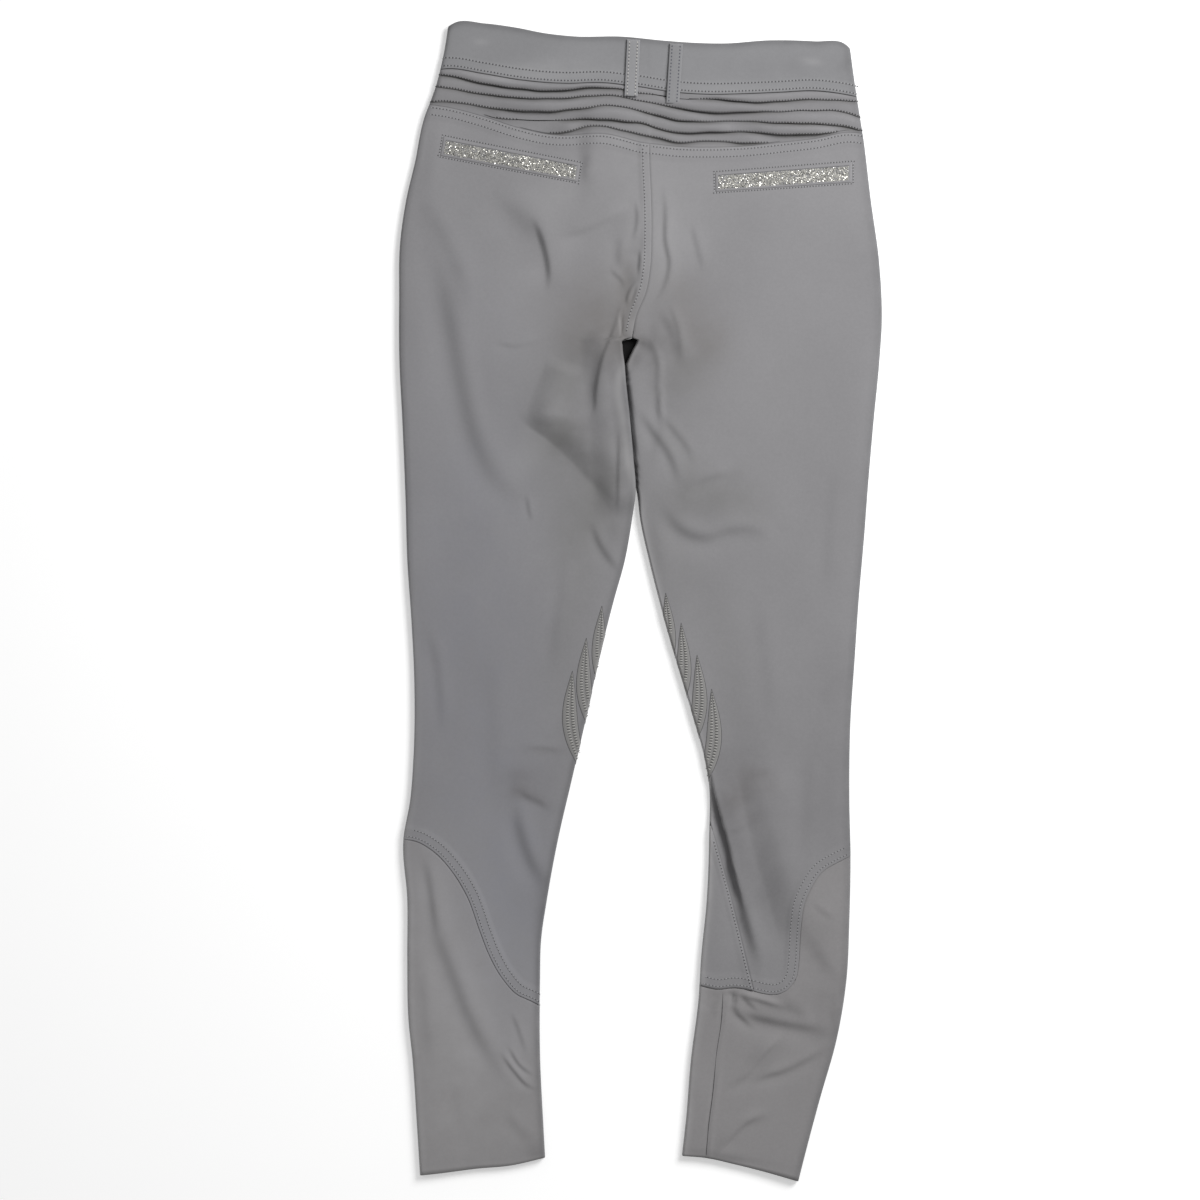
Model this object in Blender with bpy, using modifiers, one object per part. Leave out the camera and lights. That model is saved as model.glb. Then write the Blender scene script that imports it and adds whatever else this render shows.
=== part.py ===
"""Riding breeches laid flat on a surface, back side up, as the pieces of cloth that are sewn together.

X runs across the breeches, Y from the hems to the waist and Z up. The front lies on z = 0 and the back lies
on the front. The origin is at the middle of the underside. Sizes are in millimetres until a mesh is made.
"""

import bmesh
import bpy
import numpy as np

MM = 0.001
WELD = 1e-6  # metres

# Cloth
WALL = 1.2  # breeches cloth
BAND_WALL = 1.8  # a doubled waistband
TRIM_WALL = 1.0  # pocket frames and glitter strips
LOOP_WALL = 1.6  # a belt loop, doubled and pressed
SEAM_GAP = 0.4  # between two pieces that are sewn together
SIDE_GAP = 0.4  # the same at the side seams and inseams, where the back lies on the front
LAY_GAP = 0.5  # between a panel and what lies on it

# How the cloth lies
FRONT_EDGE = 0.9  # the front's side edges turn up by this
BACK_EDGE = FRONT_EDGE + 2 * WALL + SIDE_GAP  # height of the back's outer face at its side edges
ROLL = 9.0  # width of the stretch that slopes down to a side edge
UNDER_ROLL = 6.0  # the same on the underside
BULGE = 1.1  # how far the cloth stands up just inside a side fold
BULGE_AT = 11.0
BULGE_WIDTH = 16.0
BAND_RISE = 0.6  # the waistband stands over the yoke by this
BAND_TURN = 0.35  # the front waistband turns up by this part of what the front does
BAND_EDGE_DROP = 0.8  # the waistband's folded top edge is rounded down by this

# Tucks
TUCK_RISE = 2.0  # how far a tuck's fold stands over the cloth below it
TUCK_HALF_RISE = 0.45  # part of that rise half way to the fold
TUCK_FOOT = 0.1  # part of it at the foot of the fold
TUCK_UNDER = 0.6  # how far the cloth goes back under the fold
UNDER_PART = 0.3  # and the most of the way to the next row that it goes back
TUCK_FADE = 4.0  # a tuck nearer the yoke seam than this flattens out
FLAT_STEP = 0.3  # distance between a flat tuck's rows
TUCK_SPACING = 1.2  # least distance between tucks
WAIST_CLEAR = 2.6  # least distance from the waist seam to a tuck

# The left leg lies over the edge of the right one, from the crotch to mid thigh.
OVERLAP_LIFT = 4.6
OVERLAP_FLAT = 10.0  # width of the left leg's edge that is fully lifted
OVERLAP_RAMP = 28.0  # width over which the lift runs out
OVERLAP_END = 70.0  # y where the legs part
OVERLAP_END_FADE = 25.0
CROTCH_FADE = 18.0  # how far above the crotch the overlap begins
TUCKED_ROLL = 34.0  # the right leg slopes down to its edge over this width, and lies flat there

# The right front turns up onto the back at the calf.
STRIP_NOTCH = 4.0  # a notch this high in the right back makes room for the strip's upper end
STRIP_FIT = 40.0  # height over which its rows bend to meet the calf seam

# Outlines. Columns: y, x.
OUTER_LEFT = [
    (495.7, -165.7), (475.0, -169.0), (440.5, -177.5), (415.0, -187.0), (380.5, -194.0), (346.0, -202.0),
    (311.5, -207.0), (260.0, -208.0), (208.0, -207.8), (156.5, -205.3), (88.0, -202.5), (36.0, -201.0),
    (-15.5, -197.5), (-67.0, -195.0), (-136.0, -195.8), (-170.5, -198.5), (-205.0, -204.4),
    (-256.5, -201.0), (-308.0, -201.0), (-360.0, -200.0), (-394.0, -196.5), (-446.0, -193.0),
    (-494.0, -190.0),
]
OUTER_RIGHT = [
    (478.5, 180.3), (440.5, 185.5), (397.5, 192.3), (346.0, 198.5), (294.5, 205.5), (242.5, 208.0),
    (208.5, 206.0), (156.5, 201.0), (105.0, 196.5), (53.5, 192.5), (1.5, 188.0), (-50.0, 184.5),
    (-101.5, 181.0), (-170.5, 180.0), (-222.0, 181.0), (-273.5, 180.0), (-325.5, 177.5),
    (-377.0, 169.0), (-428.5, 154.5), (-471.5, 143.0), (-499.0, 136.0),
]
SEAT_SEAM = [
    (395.0, 7.3), (375.0, 7.8), (349.5, 9.0), (316.0, 9.5), (286.5, 8.2), (267.0, 4.7), (247.0, -3.4),
    (227.0, -7.6),
]
FLY_SEAM = [(475.0, -1.0), (430.0, -0.5), (320.0, 0.0), (260.0, -3.0), (227.0, -7.6)]
INNER_LEFT = [
    (227.0, -7.6), (221.0, -14.0), (215.0, -14.5), (205.5, -13.7), (191.0, -12.5), (155.0, -8.7),
    (123.0, -5.9), (96.5, -4.0), (70.5, -7.3), (36.0, -13.3), (1.5, -22.8), (-50.0, -35.7),
    (-101.5, -47.0), (-153.0, -59.0), (-205.0, -71.0), (-256.5, -80.5), (-291.0, -85.5), (-325.5, -86.5),
    (-394.0, -86.5), (-446.0, -84.0), (-478.5, -82.2),
]
INNER_RIGHT = [
    (227.0, -7.6), (224.5, -3.0), (217.0, -6.5), (204.0, -13.3), (191.0, -18.5), (156.5, -15.5),
    (122.0, -10.5), (94.5, -3.2), (70.5, -0.2), (36.0, 7.3), (1.5, 16.0), (-32.5, 25.4), (-67.0, 35.7),
    (-101.5, 46.0), (-136.0, 55.5), (-153.0, 58.5), (-205.0, 59.0), (-256.5, 57.0), (-308.0, 52.0),
    (-342.5, 50.0), (-394.0, 43.5), (-446.0, 39.2), (-477.0, 35.7),
]
# Below the crotch the right front reaches further in than the right back, under the small gap there.
INNER_RIGHT_FRONT = [(227.0, -7.6), (222.0, -13.0), (212.0, -18.0)] + INNER_RIGHT[4:]
# The right leg's inseam lies on its upper side at the calf.
INSEAM_RIGHT = [
    (-204.0, 64.0), (-215.0, 67.2), (-239.0, 73.8), (-274.5, 82.7), (-334.8, 97.2),
]

# The yoke. A row for each station across it, and the height of each seam and tuck there. A tuck that runs
# into the yoke seam keeps the seam's height from there on.
YOKE = [
    # x, waist seam, tuck 1, tuck 2, tuck 3, tuck 4, tuck 5, yoke seam
    (-186, 456.5, 455.5, 445.0, 430.0, 428.3, 428.3, 428.3),
    (-165, 459.0, 452.5, 442.0, 429.8, 425.3, 425.3, 425.3),
    (-135, 454.7, 446.1, 436.7, 426.1, 417.5, 417.5, 417.5),
    (-105, 449.6, 441.2, 433.7, 422.0, 414.9, 407.8, 407.8),
    (-75, 446.7, 439.7, 432.9, 421.9, 413.8, 403.2, 401.8),
    (-60, 446.3, 440.6, 433.6, 423.6, 414.7, 404.8, 401.5),
    (-45, 446.9, 442.0, 435.4, 424.7, 415.6, 409.4, 402.8),
    (-30, 446.8, 442.4, 435.9, 427.0, 414.6, 408.9, 402.6),
    (-15, 445.1, 441.4, 434.4, 425.9, 413.0, 405.5, 399.3),
    (0, 443.3, 437.7, 430.9, 422.4, 411.9, 402.0, 395.2),
    (15, 440.8, 435.7, 428.7, 418.0, 407.5, 399.1, 393.5),
    (30, 438.7, 433.5, 425.1, 414.4, 403.5, 395.5, 391.8),
    (60, 436.9, 432.8, 420.8, 413.2, 403.9, 396.4, 391.0),
    (90, 437.5, 430.0, 421.3, 413.5, 404.3, 394.7, 392.1),
    (120, 438.7, 430.6, 421.9, 411.8, 401.9, 395.2, 395.2),
    (150, 439.9, 432.3, 422.5, 411.1, 402.2, 398.6, 398.6),
    (180, 436.0, 431.1, 420.3, 408.0, 403.9, 403.9, 403.9),
    (192, 433.5, 430.5, 415.5, 404.8, 402.8, 402.8, 402.8),
]

# Seams across the breeches, from left to right. Columns: x, y.
BAND_TOP = [
    (-165.8, 495.5), (-159.5, 498.9), (-134.0, 498.2), (-108.0, 494.8), (-82.0, 489.7), (-56.5, 487.0),
    (-17.5, 487.0), (21.0, 483.3), (47.0, 481.5), (72.5, 481.0), (111.5, 483.7), (150.0, 482.8),
    (176.0, 480.5), (180.5, 476.8),
]
FRONT_BAND_TOP = [
    (-165.8, 495.5), (-121.0, 485.0), (-60.5, 475.0), (-0.5, 471.0), (68.5, 469.0), (137.5, 473.0),
    (180.5, 476.8),
]
FRONT_WAIST_SEAM = [
    (-173.5, 456.5), (-121.0, 446.0), (-60.5, 435.5), (-0.5, 430.3), (68.5, 429.5), (137.5, 431.2),
    (186.3, 434.0),
]
CALF_SEAM_LEFT = [
    (-204.3, -204.0), (-193.5, -205.7), (-179.5, -213.5), (-160.5, -234.0), (-149.7, -252.0),
    (-137.5, -285.0), (-130.0, -304.0), (-118.3, -324.5), (-106.3, -337.5), (-93.5, -343.5),
    (-86.5, -347.3),
]
CALF_SEAM_RIGHT = [
    (50.6, -330.0), (66.3, -333.5), (81.3, -332.2), (97.2, -334.8), (106.3, -337.1), (117.0, -337.8),
    (126.0, -334.0), (133.5, -324.0), (135.9, -311.0), (136.9, -294.0), (138.2, -275.0), (140.5, -260.0),
    (146.0, -247.0), (155.3, -233.0), (170.0, -223.8), (181.0, -218.6),
]
INSEAM_POINT = 3  # the row of CALF_SEAM_RIGHT where the inseam meets it
FRONT_CALF_SEAM_LEFT = [
    (-204.3, -204.0), (-181.0, -208.5), (-155.3, -224.0), (-129.5, -261.0), (-109.0, -312.5),
    (-97.0, -340.5), (-89.5, -346.7), (-86.5, -347.3),
]
FRONT_CALF_SEAM_RIGHT = [
    (50.6, -330.0), (53.6, -329.6), (63.0, -323.0), (74.0, -308.0), (94.0, -273.5), (120.0, -239.0),
    (150.0, -224.0), (181.0, -218.6),
]
HEM_LEFT = [(-190.0, -494.0), (-168.0, -491.5), (-140.5, -488.0), (-113.0, -485.5), (-82.2, -478.5)]
HEM_RIGHT = [(35.7, -477.0), (54.5, -478.5), (82.0, -484.5), (109.5, -491.5), (136.0, -499.1)]

# Height of the back's outer face where the cloth is smooth. Columns: y, z.
LEVEL = [(500, 5.6), (440, 5.6), (390, 6.0), (220, 6.4), (60, 6.2), (-140, 6.0), (-340, 5.6), (-500, 5.2)]

# The large folds. A height below zero is a trough. Columns: height, width to the left of the way that the
# points run, width to the right, points (x, y).
FOLD_STEPS = 24
FOLD_START = 0.08  # each end of a fold begins with this part of its taper
FOLD_ROUNDNESS = 0.8
FOLDS = [
    (2.6, 8, 14, [(-94, 332), (-84, 307), (-79, 275), (-82, 262)]),
    (-2.0, 9, 12, [(-12, 339), (-42, 326), (-75, 316)]),
    (-2.4, 12, 10, [(-192, 319), (-167, 241), (-154, 188), (-145, 144), (-119, 100), (-98, 86), (-78, 80)]),
    (2.2, 14, 16, [(-150, 235), (-136, 190), (-127, 150), (-106, 118)]),
    (-2.8, 12, 12, [(-93, 188), (-99, 162), (-66, 135), (-49, 118), (-22, 86)]),
    (2.4, 12, 12, [(-75, 190), (-72, 165), (-50, 148), (-34, 128)]),
    (-2.0, 7, 7, [(-42, 53), (-28, 38), (-16, 28)]),
    (-2.8, 8, 8, [(-18, 246), (-30, 219), (-37, 194), (-40, 173), (-43, 158)]),
    (-1.8, 6, 6, [(-106, -162), (-96, -168), (-78, -179)]),
    (-2.0, 9, 9, [(-105, -175), (-101, -197), (-95, -219), (-84, -241)]),
    (1.6, 14, 14, [(-186, -18), (-177, -53), (-174, -97)]),
    (2.6, 8, 10, [(1, 239), (7, 225), (15, 214), (19, 200), (18, 178), (20, 158), (29, 137)]),
    (-2.2, 9, 8, [(9, 152), (27, 118), (35, 91)]),
    (-1.8, 8, 8, [(38, 95), (56, 105), (74, 111)]),
    (-2.2, 9, 9, [(18, 82), (35, 59), (57, 54), (79, 63), (93, 61), (114, 52)]),
    (1.8, 10, 3, [(14, 380), (16, 340), (18, 300), (12, 268)]),
    (4.6, 24, 3, [(62, -150), (69, -178), (79, -214), (92, -267), (100, -295), (108, -318)]),
    (-2.4, 7, 7, [(95, -199), (103, -223), (108, -232), (120, -268), (131, -306)]),
    (-2.2, 9, 9, [(-194, -230), (-175, -285), (-156, -340), (-137, -362), (-118, -404), (-104, -416)]),
    (2.4, 6, 6, [(80, -335), (97, -339), (114, -344)]),
    (-2.0, 8, 8, [(80, -346), (111, -359), (143, -366), (165, -370)]),
    (-1.8, 7, 7, [(127, -370), (105, -392), (92, -408), (72, -422)]),
    (-1.8, 7, 7, [(168, -379), (143, -397), (124, -406), (103, -409)]),
    (-1.5, 6, 6, [(113, -441), (92, -449), (77, -463), (66, -477)]),
]

# Trims: four corners each, from the top left round to the bottom left.
POCKET_FRAMES = {
    "left": [(-169.5, 400.4), (-51.9, 377.5), (-54.3, 361.6), (-172.3, 384.0)],
    "right": [(64.3, 369.4), (181.8, 378.2), (181.8, 361.0), (64.7, 353.1)],
}
FRAME_WIDTH = 3.2  # of the cloth round the glitter strip
# Belt loops. Columns: top x, top y, bottom x, bottom y of each middle line.
BELT_LOOPS = {"left": (-6.0, 484.0, -8.3, 434.8), "right": (30.8, 480.3, 27.6, 428.6)}
LOOP_WIDTH = 11.5
# Height of a loop's underside over the smooth cloth. Columns: part of its length, height.
LOOP_STAND = [(0.0, 1.2), (0.12, 1.6), (0.5, 4.0), (0.85, 3.4), (1.0, 3.0)]

# Colours as sRGB, roughness, metallic
BREECHES_GREY = ((0.545, 0.54, 0.55), 0.9, 0.0)
CUFF_GREY = ((0.55, 0.545, 0.545), 0.85, 0.0)
LOOP_GREY = ((0.57, 0.57, 0.575), 0.85, 0.0)
GLITTER_SILVER = ((0.72, 0.72, 0.74), 0.35, 0.8)


# ---------------------------------------------------------------- lines and curves


def spline(rows):
    """A smooth function through rows of (place, value)."""
    at, value = np.array(sorted(rows), float).T
    slope = np.gradient(value, at)

    def read(place):
        place = np.clip(place, at[0], at[-1])
        i = np.clip(np.searchsorted(at, place) - 1, 0, len(at) - 2)
        step = at[i + 1] - at[i]
        s = (place - at[i]) / step
        start = (2 * s**3 - 3 * s**2 + 1) * value[i] + (s**3 - 2 * s**2 + s) * step * slope[i]
        end = (3 * s**2 - 2 * s**3) * value[i + 1] + (s**3 - s**2) * step * slope[i + 1]
        return start + end

    return read


def curve(points):
    """x and y as smooth functions of the part of the curve's length, from 0 to 1."""
    part = length_parts(points)
    return tuple(spline([(at, point[axis]) for at, point in zip(part, points)]) for axis in (0, 1))


def length_parts(points):
    """The part of a curve's length at each of its points."""
    steps = np.linalg.norm(np.diff(np.array(points, float), axis=0), axis=1)
    return np.concatenate([[0], np.cumsum(steps)]) / steps.sum()


def points_along(points, parts, shift=0.0):
    """x and y at parts of a curve, moved sideways by shift, to the left of the way that it runs."""
    read_x, read_y = curve(points)
    near = 0.004
    ahead, behind = np.clip(parts + near, 0, 1), np.clip(parts - near, 0, 1)
    along = np.stack([read_x(ahead) - read_x(behind), read_y(ahead) - read_y(behind)])
    along /= np.linalg.norm(along, axis=0)
    return read_x(parts) - shift * along[1], read_y(parts) + shift * along[0]


def smooth_step(value):
    value = np.clip(value, 0, 1)
    return value * value * (3 - 2 * value)


outer_left = spline(OUTER_LEFT)
outer_right = spline(OUTER_RIGHT)
seat_seam = spline(SEAT_SEAM)
fly_seam = spline(FLY_SEAM)
inner_left = spline(INNER_LEFT)
inner_right = spline(INNER_RIGHT)
inner_right_front = spline(INNER_RIGHT_FRONT)
inseam_right = spline(INSEAM_RIGHT)
level = spline(LEVEL)
CROTCH_Y = SEAT_SEAM[-1][0]
INSEAM_TOP_Y = INSEAM_RIGHT[0][0]


def back_edge_left(y):
    return np.where(y > CROTCH_Y, seat_seam(y), inner_left(y))


def back_edge_right(y):
    on_leg = np.where(y > INSEAM_TOP_Y + STRIP_NOTCH / 2, inner_right(y), inseam_right(y))
    return np.where(y > CROTCH_Y, seat_seam(y), on_leg)


def front_edge_left(y):
    return np.where(y > CROTCH_Y, fly_seam(y), inner_left(y))


def front_edge_right(y):
    return np.where(y > CROTCH_Y, fly_seam(y), inner_right_front(y))


# ---------------------------------------------------------------- how the cloth lies


def overlap(y):
    """1 where the left leg lies on the right one, 0 where they lie apart."""
    from_end = smooth_step((y - OVERLAP_END) / OVERLAP_END_FADE)
    return from_end * smooth_step((CROTCH_Y + CROTCH_FADE - y) / CROTCH_FADE)


def inner_distance(x, y, edge):
    """How far a point is from its leg's inner edge. Above the crotch the legs are one, so it grows."""
    return np.abs(x - edge(y)) + np.maximum(y - CROTCH_Y, 0)


def rolled(distance, width):
    """0 at a side edge, 1 from width on, as a quarter of a sine wave."""
    return np.sin(np.pi / 2 * np.clip(distance / width, 0, 1))


def fold_height(x, y):
    """The sum of the large folds at each point."""
    total = np.zeros(np.shape(x))
    for height, left_width, right_width, points in FOLDS:
        read_x, read_y = curve(points)
        parts = np.linspace(0, 1, FOLD_STEPS + 1)
        line_x, line_y = read_x(parts), read_y(parts)
        to_x, to_y = x[..., None] - line_x, y[..., None] - line_y
        nearest = np.argmin(to_x**2 + to_y**2, axis=-1)
        away_x = np.take_along_axis(to_x, nearest[..., None], -1)[..., 0]
        away_y = np.take_along_axis(to_y, nearest[..., None], -1)[..., 0]
        along_x, along_y = np.gradient(line_x)[nearest], np.gradient(line_y)[nearest]
        on_left = along_x * away_y - along_y * away_x > 0
        width = np.where(on_left, left_width, right_width)
        along = FOLD_START + (1 - 2 * FOLD_START) * nearest / FOLD_STEPS
        taper = np.sin(np.pi * along) ** FOLD_ROUNDNESS
        total += height * taper * np.exp(-(away_x**2 + away_y**2) / width**2)
    return total


def lay_over(distances, seam_heights, widths, x, y):
    """The outer face of cloth that slopes down to side edges at these distances."""
    rise, bulge, base = 1.0, 0.0, level(y)
    lowest = np.argmin(np.stack(distances), axis=0)
    for distance, width in zip(distances, widths):
        rise = rise * rolled(distance, width)
        bulge = bulge + BULGE * np.exp(-(((distance - BULGE_AT) / BULGE_WIDTH) ** 2))
    seam = np.take_along_axis(np.stack(seam_heights), lowest[None], 0)[0]
    top = base + bulge + fold_height(x, y)
    return seam + rise * np.maximum(top - seam, 0)


def back_height_left(x, y):
    outer = x - outer_left(y)
    inner = inner_distance(x, y, back_edge_left)
    lift = OVERLAP_LIFT * overlap(y) * (1 - smooth_step((inner - OVERLAP_FLAT) / OVERLAP_RAMP))
    seams = [np.full(np.shape(x), BACK_EDGE)] * 2
    return lay_over([outer, inner], seams, [ROLL, ROLL], x, y) + lift


def back_height_right(x, y):
    outer = outer_right(y) - x
    inner = inner_distance(x, y, lambda at: np.where(at > CROTCH_Y, seat_seam(at), inner_right(at)))
    under = overlap(y)
    seams = [np.full(np.shape(x), BACK_EDGE), BACK_EDGE - FRONT_EDGE * under]
    return lay_over([outer, inner], seams, [ROLL, ROLL + (TUCKED_ROLL - ROLL) * under], x, y)


def back_height(x, y):
    """The back's outer face, without tucks and trims."""
    middle = np.where(y > CROTCH_Y, seat_seam(y), (inner_left(y) + inner_right(y)) / 2)
    return np.where(x < middle, back_height_left(x, y), back_height_right(x, y))


def underside(outer, inner, inner_turn, floor):
    """The outer face of the cloth that lies on the surface, turned up at its edges."""
    outer_rise = FRONT_EDGE * (1 - rolled(outer, UNDER_ROLL))
    return floor + outer_rise + inner_turn * (1 - rolled(inner, UNDER_ROLL))


def front_height_left(x, y):
    outer = x - outer_left(y)
    inner = inner_distance(x, y, front_edge_left)
    floor = OVERLAP_LIFT * overlap(y) * (1 - smooth_step((inner - OVERLAP_FLAT) / OVERLAP_RAMP))
    return underside(outer, inner, FRONT_EDGE, floor)


def front_height_right(x, y):
    outer = outer_right(y) - x
    inner = inner_distance(x, y, front_edge_right)
    return underside(outer, inner, FRONT_EDGE * (1 - overlap(y)), 0.0)


# ---------------------------------------------------------------- meshes


def linear(colour):
    """An sRGB colour as Blender's linear one."""
    return tuple(((part + 0.055) / 1.055) ** 2.4 for part in colour) + (1.0,)


def finish(obj, look):
    colour, roughness, metallic = look
    material = bpy.data.materials.new(obj.name)
    material.use_nodes = True
    shader = material.node_tree.nodes["Principled BSDF"]
    shader.inputs["Base Color"].default_value = linear(colour)
    shader.inputs["Roughness"].default_value = roughness
    shader.inputs["Metallic"].default_value = metallic
    material.diffuse_color = linear(colour)
    obj.data.materials.append(material)


def cloth(name, grids, wall, look, around=False, turned=False):
    """A wall of cloth. Its outer face has these grids of points, as rows by columns, welded where they meet.
    around joins the last column to the first, and turned is for rows that run the other way round."""
    shape = bmesh.new()
    for grid in grids:
        vertices = [[shape.verts.new(point) for point in row] for row in (grid * MM).tolist()]
        for upper, lower in zip(vertices, vertices[1:]):
            for column in range(0 if around else 1, len(upper)):
                corners = [upper[column - 1], lower[column - 1], lower[column], upper[column]]
                shape.faces.new(corners[::-1] if turned else corners)
    bmesh.ops.remove_doubles(shape, verts=shape.verts, dist=WELD)
    mesh = bpy.data.meshes.new(name)
    shape.to_mesh(mesh)
    shape.free()
    mesh.shade_smooth()
    obj = bpy.data.objects.new(name, mesh)
    bpy.data.collections["riding_breeches"].objects.link(obj)
    solidify = obj.modifiers.new("wall", "SOLIDIFY")
    solidify.thickness = wall * MM
    solidify.offset = -1
    solidify.use_even_offset = False
    finish(obj, look)


def spread(inside, edge_parts):
    """Parts across a panel from 0 to 1: edge_parts near each side, and evenly spaced ones between."""
    last = edge_parts[-1]
    middle = np.linspace(last, 1 - last, inside + 1)[1:-1]
    near = np.array([0, *edge_parts])
    return np.concatenate([near, middle, 1 - near[::-1]])


def rows_down(top_y, low_y, thigh_rows, calf_rows):
    """Parts of a panel's length at which its rows meet the seat or fly seam, and the leg's edge below it."""
    on_seam = np.linspace(top_y, CROTCH_Y, SEAT_ROWS)
    below = [CROTCH_Y - drop for drop in CROTCH_ROWS]
    on_thigh = np.linspace(below[-1], INSEAM_TOP_Y + STRIP_NOTCH, thigh_rows)[1:]
    on_calf = np.linspace(INSEAM_TOP_Y, low_y, calf_rows)
    return (np.concatenate([on_seam, below, on_thigh, on_calf]) - top_y) / (low_y - top_y)


def plan(left, right, top, bottom, across, along, low_across=None):
    """x and y of a panel's points. Its rows run from the top seam to the bottom one, and its columns follow
    its left and right edges, which are functions of y. across and low_across are the parts of the seams'
    lengths where the columns start and end."""
    top_x, top_y = points_along(top, across, -SEAM_GAP / 2)
    low_x, low_y = points_along(bottom, across if low_across is None else low_across, SEAM_GAP / 2)
    top_part = np.clip((top_x - left(top_y)) / (right(top_y) - left(top_y)), 0, 1)
    low_part = np.clip((low_x - left(low_y)) / (right(low_y) - left(low_y)), 0, 1)
    for part in (top_part, low_part):
        part[0], part[-1] = 0, 1
    y = top_y + along[:, None] * (low_y - top_y)
    part = top_part + along[:, None] * (low_part - top_part)
    return left(y) + part * (right(y) - left(y)), y


# ---------------------------------------------------------------- the pieces


WAIST_SEAM = [(row[0], row[1]) for row in YOKE]
YOKE_SEAM = [(row[0], row[7]) for row in YOKE]
BACK_COLUMNS = spread(10, [0.02, 0.036, 0.058, 0.09])
FRONT_COLUMNS = spread(6, [0.012, 0.03])
SEAT_ROWS = 10
CROTCH_ROWS = [6, 13, 22, 36]  # distances below the crotch
BAND_ROWS = [0, 0.06, 0.5, 1]
BACK_ROWS = (20, 8)  # on the thigh and on the calf
FRONT_ROWS = (11, 6)
CUFF_ROWS = 13
TRIM_STEPS = 9  # points along a trim
SEAT_TOP_Y, SEAT_TOP_X = SEAT_SEAM[0]
FLY_TOP_Y, FLY_TOP_X = FLY_SEAM[1]
# The yoke and the waistband have their columns where the back panels below them have theirs.
SEAT_PART = (SEAT_TOP_X - YOKE[0][0]) / (YOKE[-1][0] - YOKE[0][0])
YOKE_COLUMNS = np.concatenate(
    [SEAT_PART * BACK_COLUMNS[:-3], [SEAT_PART], SEAT_PART + (1 - SEAT_PART) * BACK_COLUMNS[3:]]
)
# The part of the right calf seam that the front panel has, where it turns up round the leg's inner edge.
STRIP_PART = length_parts(CALF_SEAM_RIGHT)[INSEAM_POINT]
STRIP_COLUMNS = np.array([0, 0.2, 0.35, 0.6, 1])
# The cuffs' columns crowd towards the outer side at the hem, which keeps them clear of the steep calf seam.
HEM_CROWDING = 0.6


def side_to_side(y_of):
    """The places across at which a line meets the side seams."""
    left_x, right_x = YOKE[0][0], YOKE[-1][0]
    for _ in range(8):
        left_x, right_x = outer_left(y_of(left_x)), outer_right(y_of(right_x))
    return float(left_x), float(right_x)


def cut_at(points, left_x, right_x, count=12):
    """The stretch of a seam between two places across the breeches."""
    read_y = spline(points)
    return [(x, float(read_y(x))) for x in np.linspace(left_x, right_x, count)]


def make_waistband_back():
    bottom = cut_at(WAIST_SEAM, *side_to_side(spline(WAIST_SEAM)), len(YOKE_COLUMNS))
    x, y = plan(outer_left, outer_right, BAND_TOP, bottom, YOKE_COLUMNS, np.array(BAND_ROWS))
    z = back_height(x, y) + BAND_RISE
    z[0] -= BAND_EDGE_DROP
    cloth("waistband_back", [np.stack([x, y, z], -1)], BAND_WALL, BREECHES_GREY)


def make_waistband_front(side):
    if side == "left":
        edges, height = (outer_left, lambda y: fly_seam(y) - SEAM_GAP / 2), front_height_left
        top = cut_at(FRONT_BAND_TOP, FRONT_BAND_TOP[0][0], FLY_TOP_X)
        bottom = cut_at(FRONT_WAIST_SEAM, FRONT_WAIST_SEAM[0][0], FLY_TOP_X)
    else:
        edges, height = (lambda y: fly_seam(y) + SEAM_GAP / 2, outer_right), front_height_right
        top = cut_at(FRONT_BAND_TOP, FLY_TOP_X, FRONT_BAND_TOP[-1][0])
        bottom = cut_at(FRONT_WAIST_SEAM, FLY_TOP_X, FRONT_WAIST_SEAM[-1][0])
    x, y = plan(*edges, top, bottom, FRONT_COLUMNS, np.linspace(0, 1, 3))
    points = np.stack([x, y, BAND_TURN * height(x, y)], -1)
    cloth(f"waistband_front_{side}", [points], BAND_WALL, BREECHES_GREY, turned=True)


def make_yoke():
    """The yoke's rows follow its tucks: each tuck rises to a fold, and goes back under it."""
    waist, *tucks, low = [spline([(row[0], row[column]) for row in YOKE]) for column in range(1, 8)]

    def place(y_of):
        """A row of points on a line across the yoke, between the side seams."""
        left_x, right_x = side_to_side(y_of)
        x = left_x + YOKE_COLUMNS * (right_x - left_x)
        return x, y_of(x)

    rows = [(*place(lambda x: waist(x) - SEAM_GAP / 2), 0.0)]
    above = waist
    for number, tuck in enumerate(tucks):
        least = TUCK_SPACING * (len(tucks) - number)

        def fold_line(x, tuck=tuck, least=least):
            return np.minimum(np.maximum(tuck(x), low(x) + least), waist(x) - WAIST_CLEAR)

        def half_way(x, above=above, fold_line=fold_line):
            return (above(x) + fold_line(x)) / 2

        x, y = place(fold_line)
        rise = TUCK_RISE * smooth_step((tuck(x) - low(x)) / TUCK_FADE)
        rise *= rolled(np.minimum(x - outer_left(y), outer_right(y) - x), ROLL)
        under = np.minimum(TUCK_UNDER, UNDER_PART * (half_way(x) - y))
        shown = rise / TUCK_RISE
        rows.append((*place(half_way), TUCK_HALF_RISE * rise))
        rows.append((x, y, rise))
        rows.append((x, y + under * shown - FLAT_STEP * (1 - shown), TUCK_FOOT * rise))
        above = fold_line
    rows.append((*place(lambda x: low(x) + SEAM_GAP / 2), 0.0))
    x, y, rise = (np.stack([np.broadcast_to(row[i], YOKE_COLUMNS.shape) for row in rows]) for i in range(3))
    cloth("yoke_back", [np.stack([x, y, back_height(x, y) + rise], -1)], WALL, BREECHES_GREY)


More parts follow.
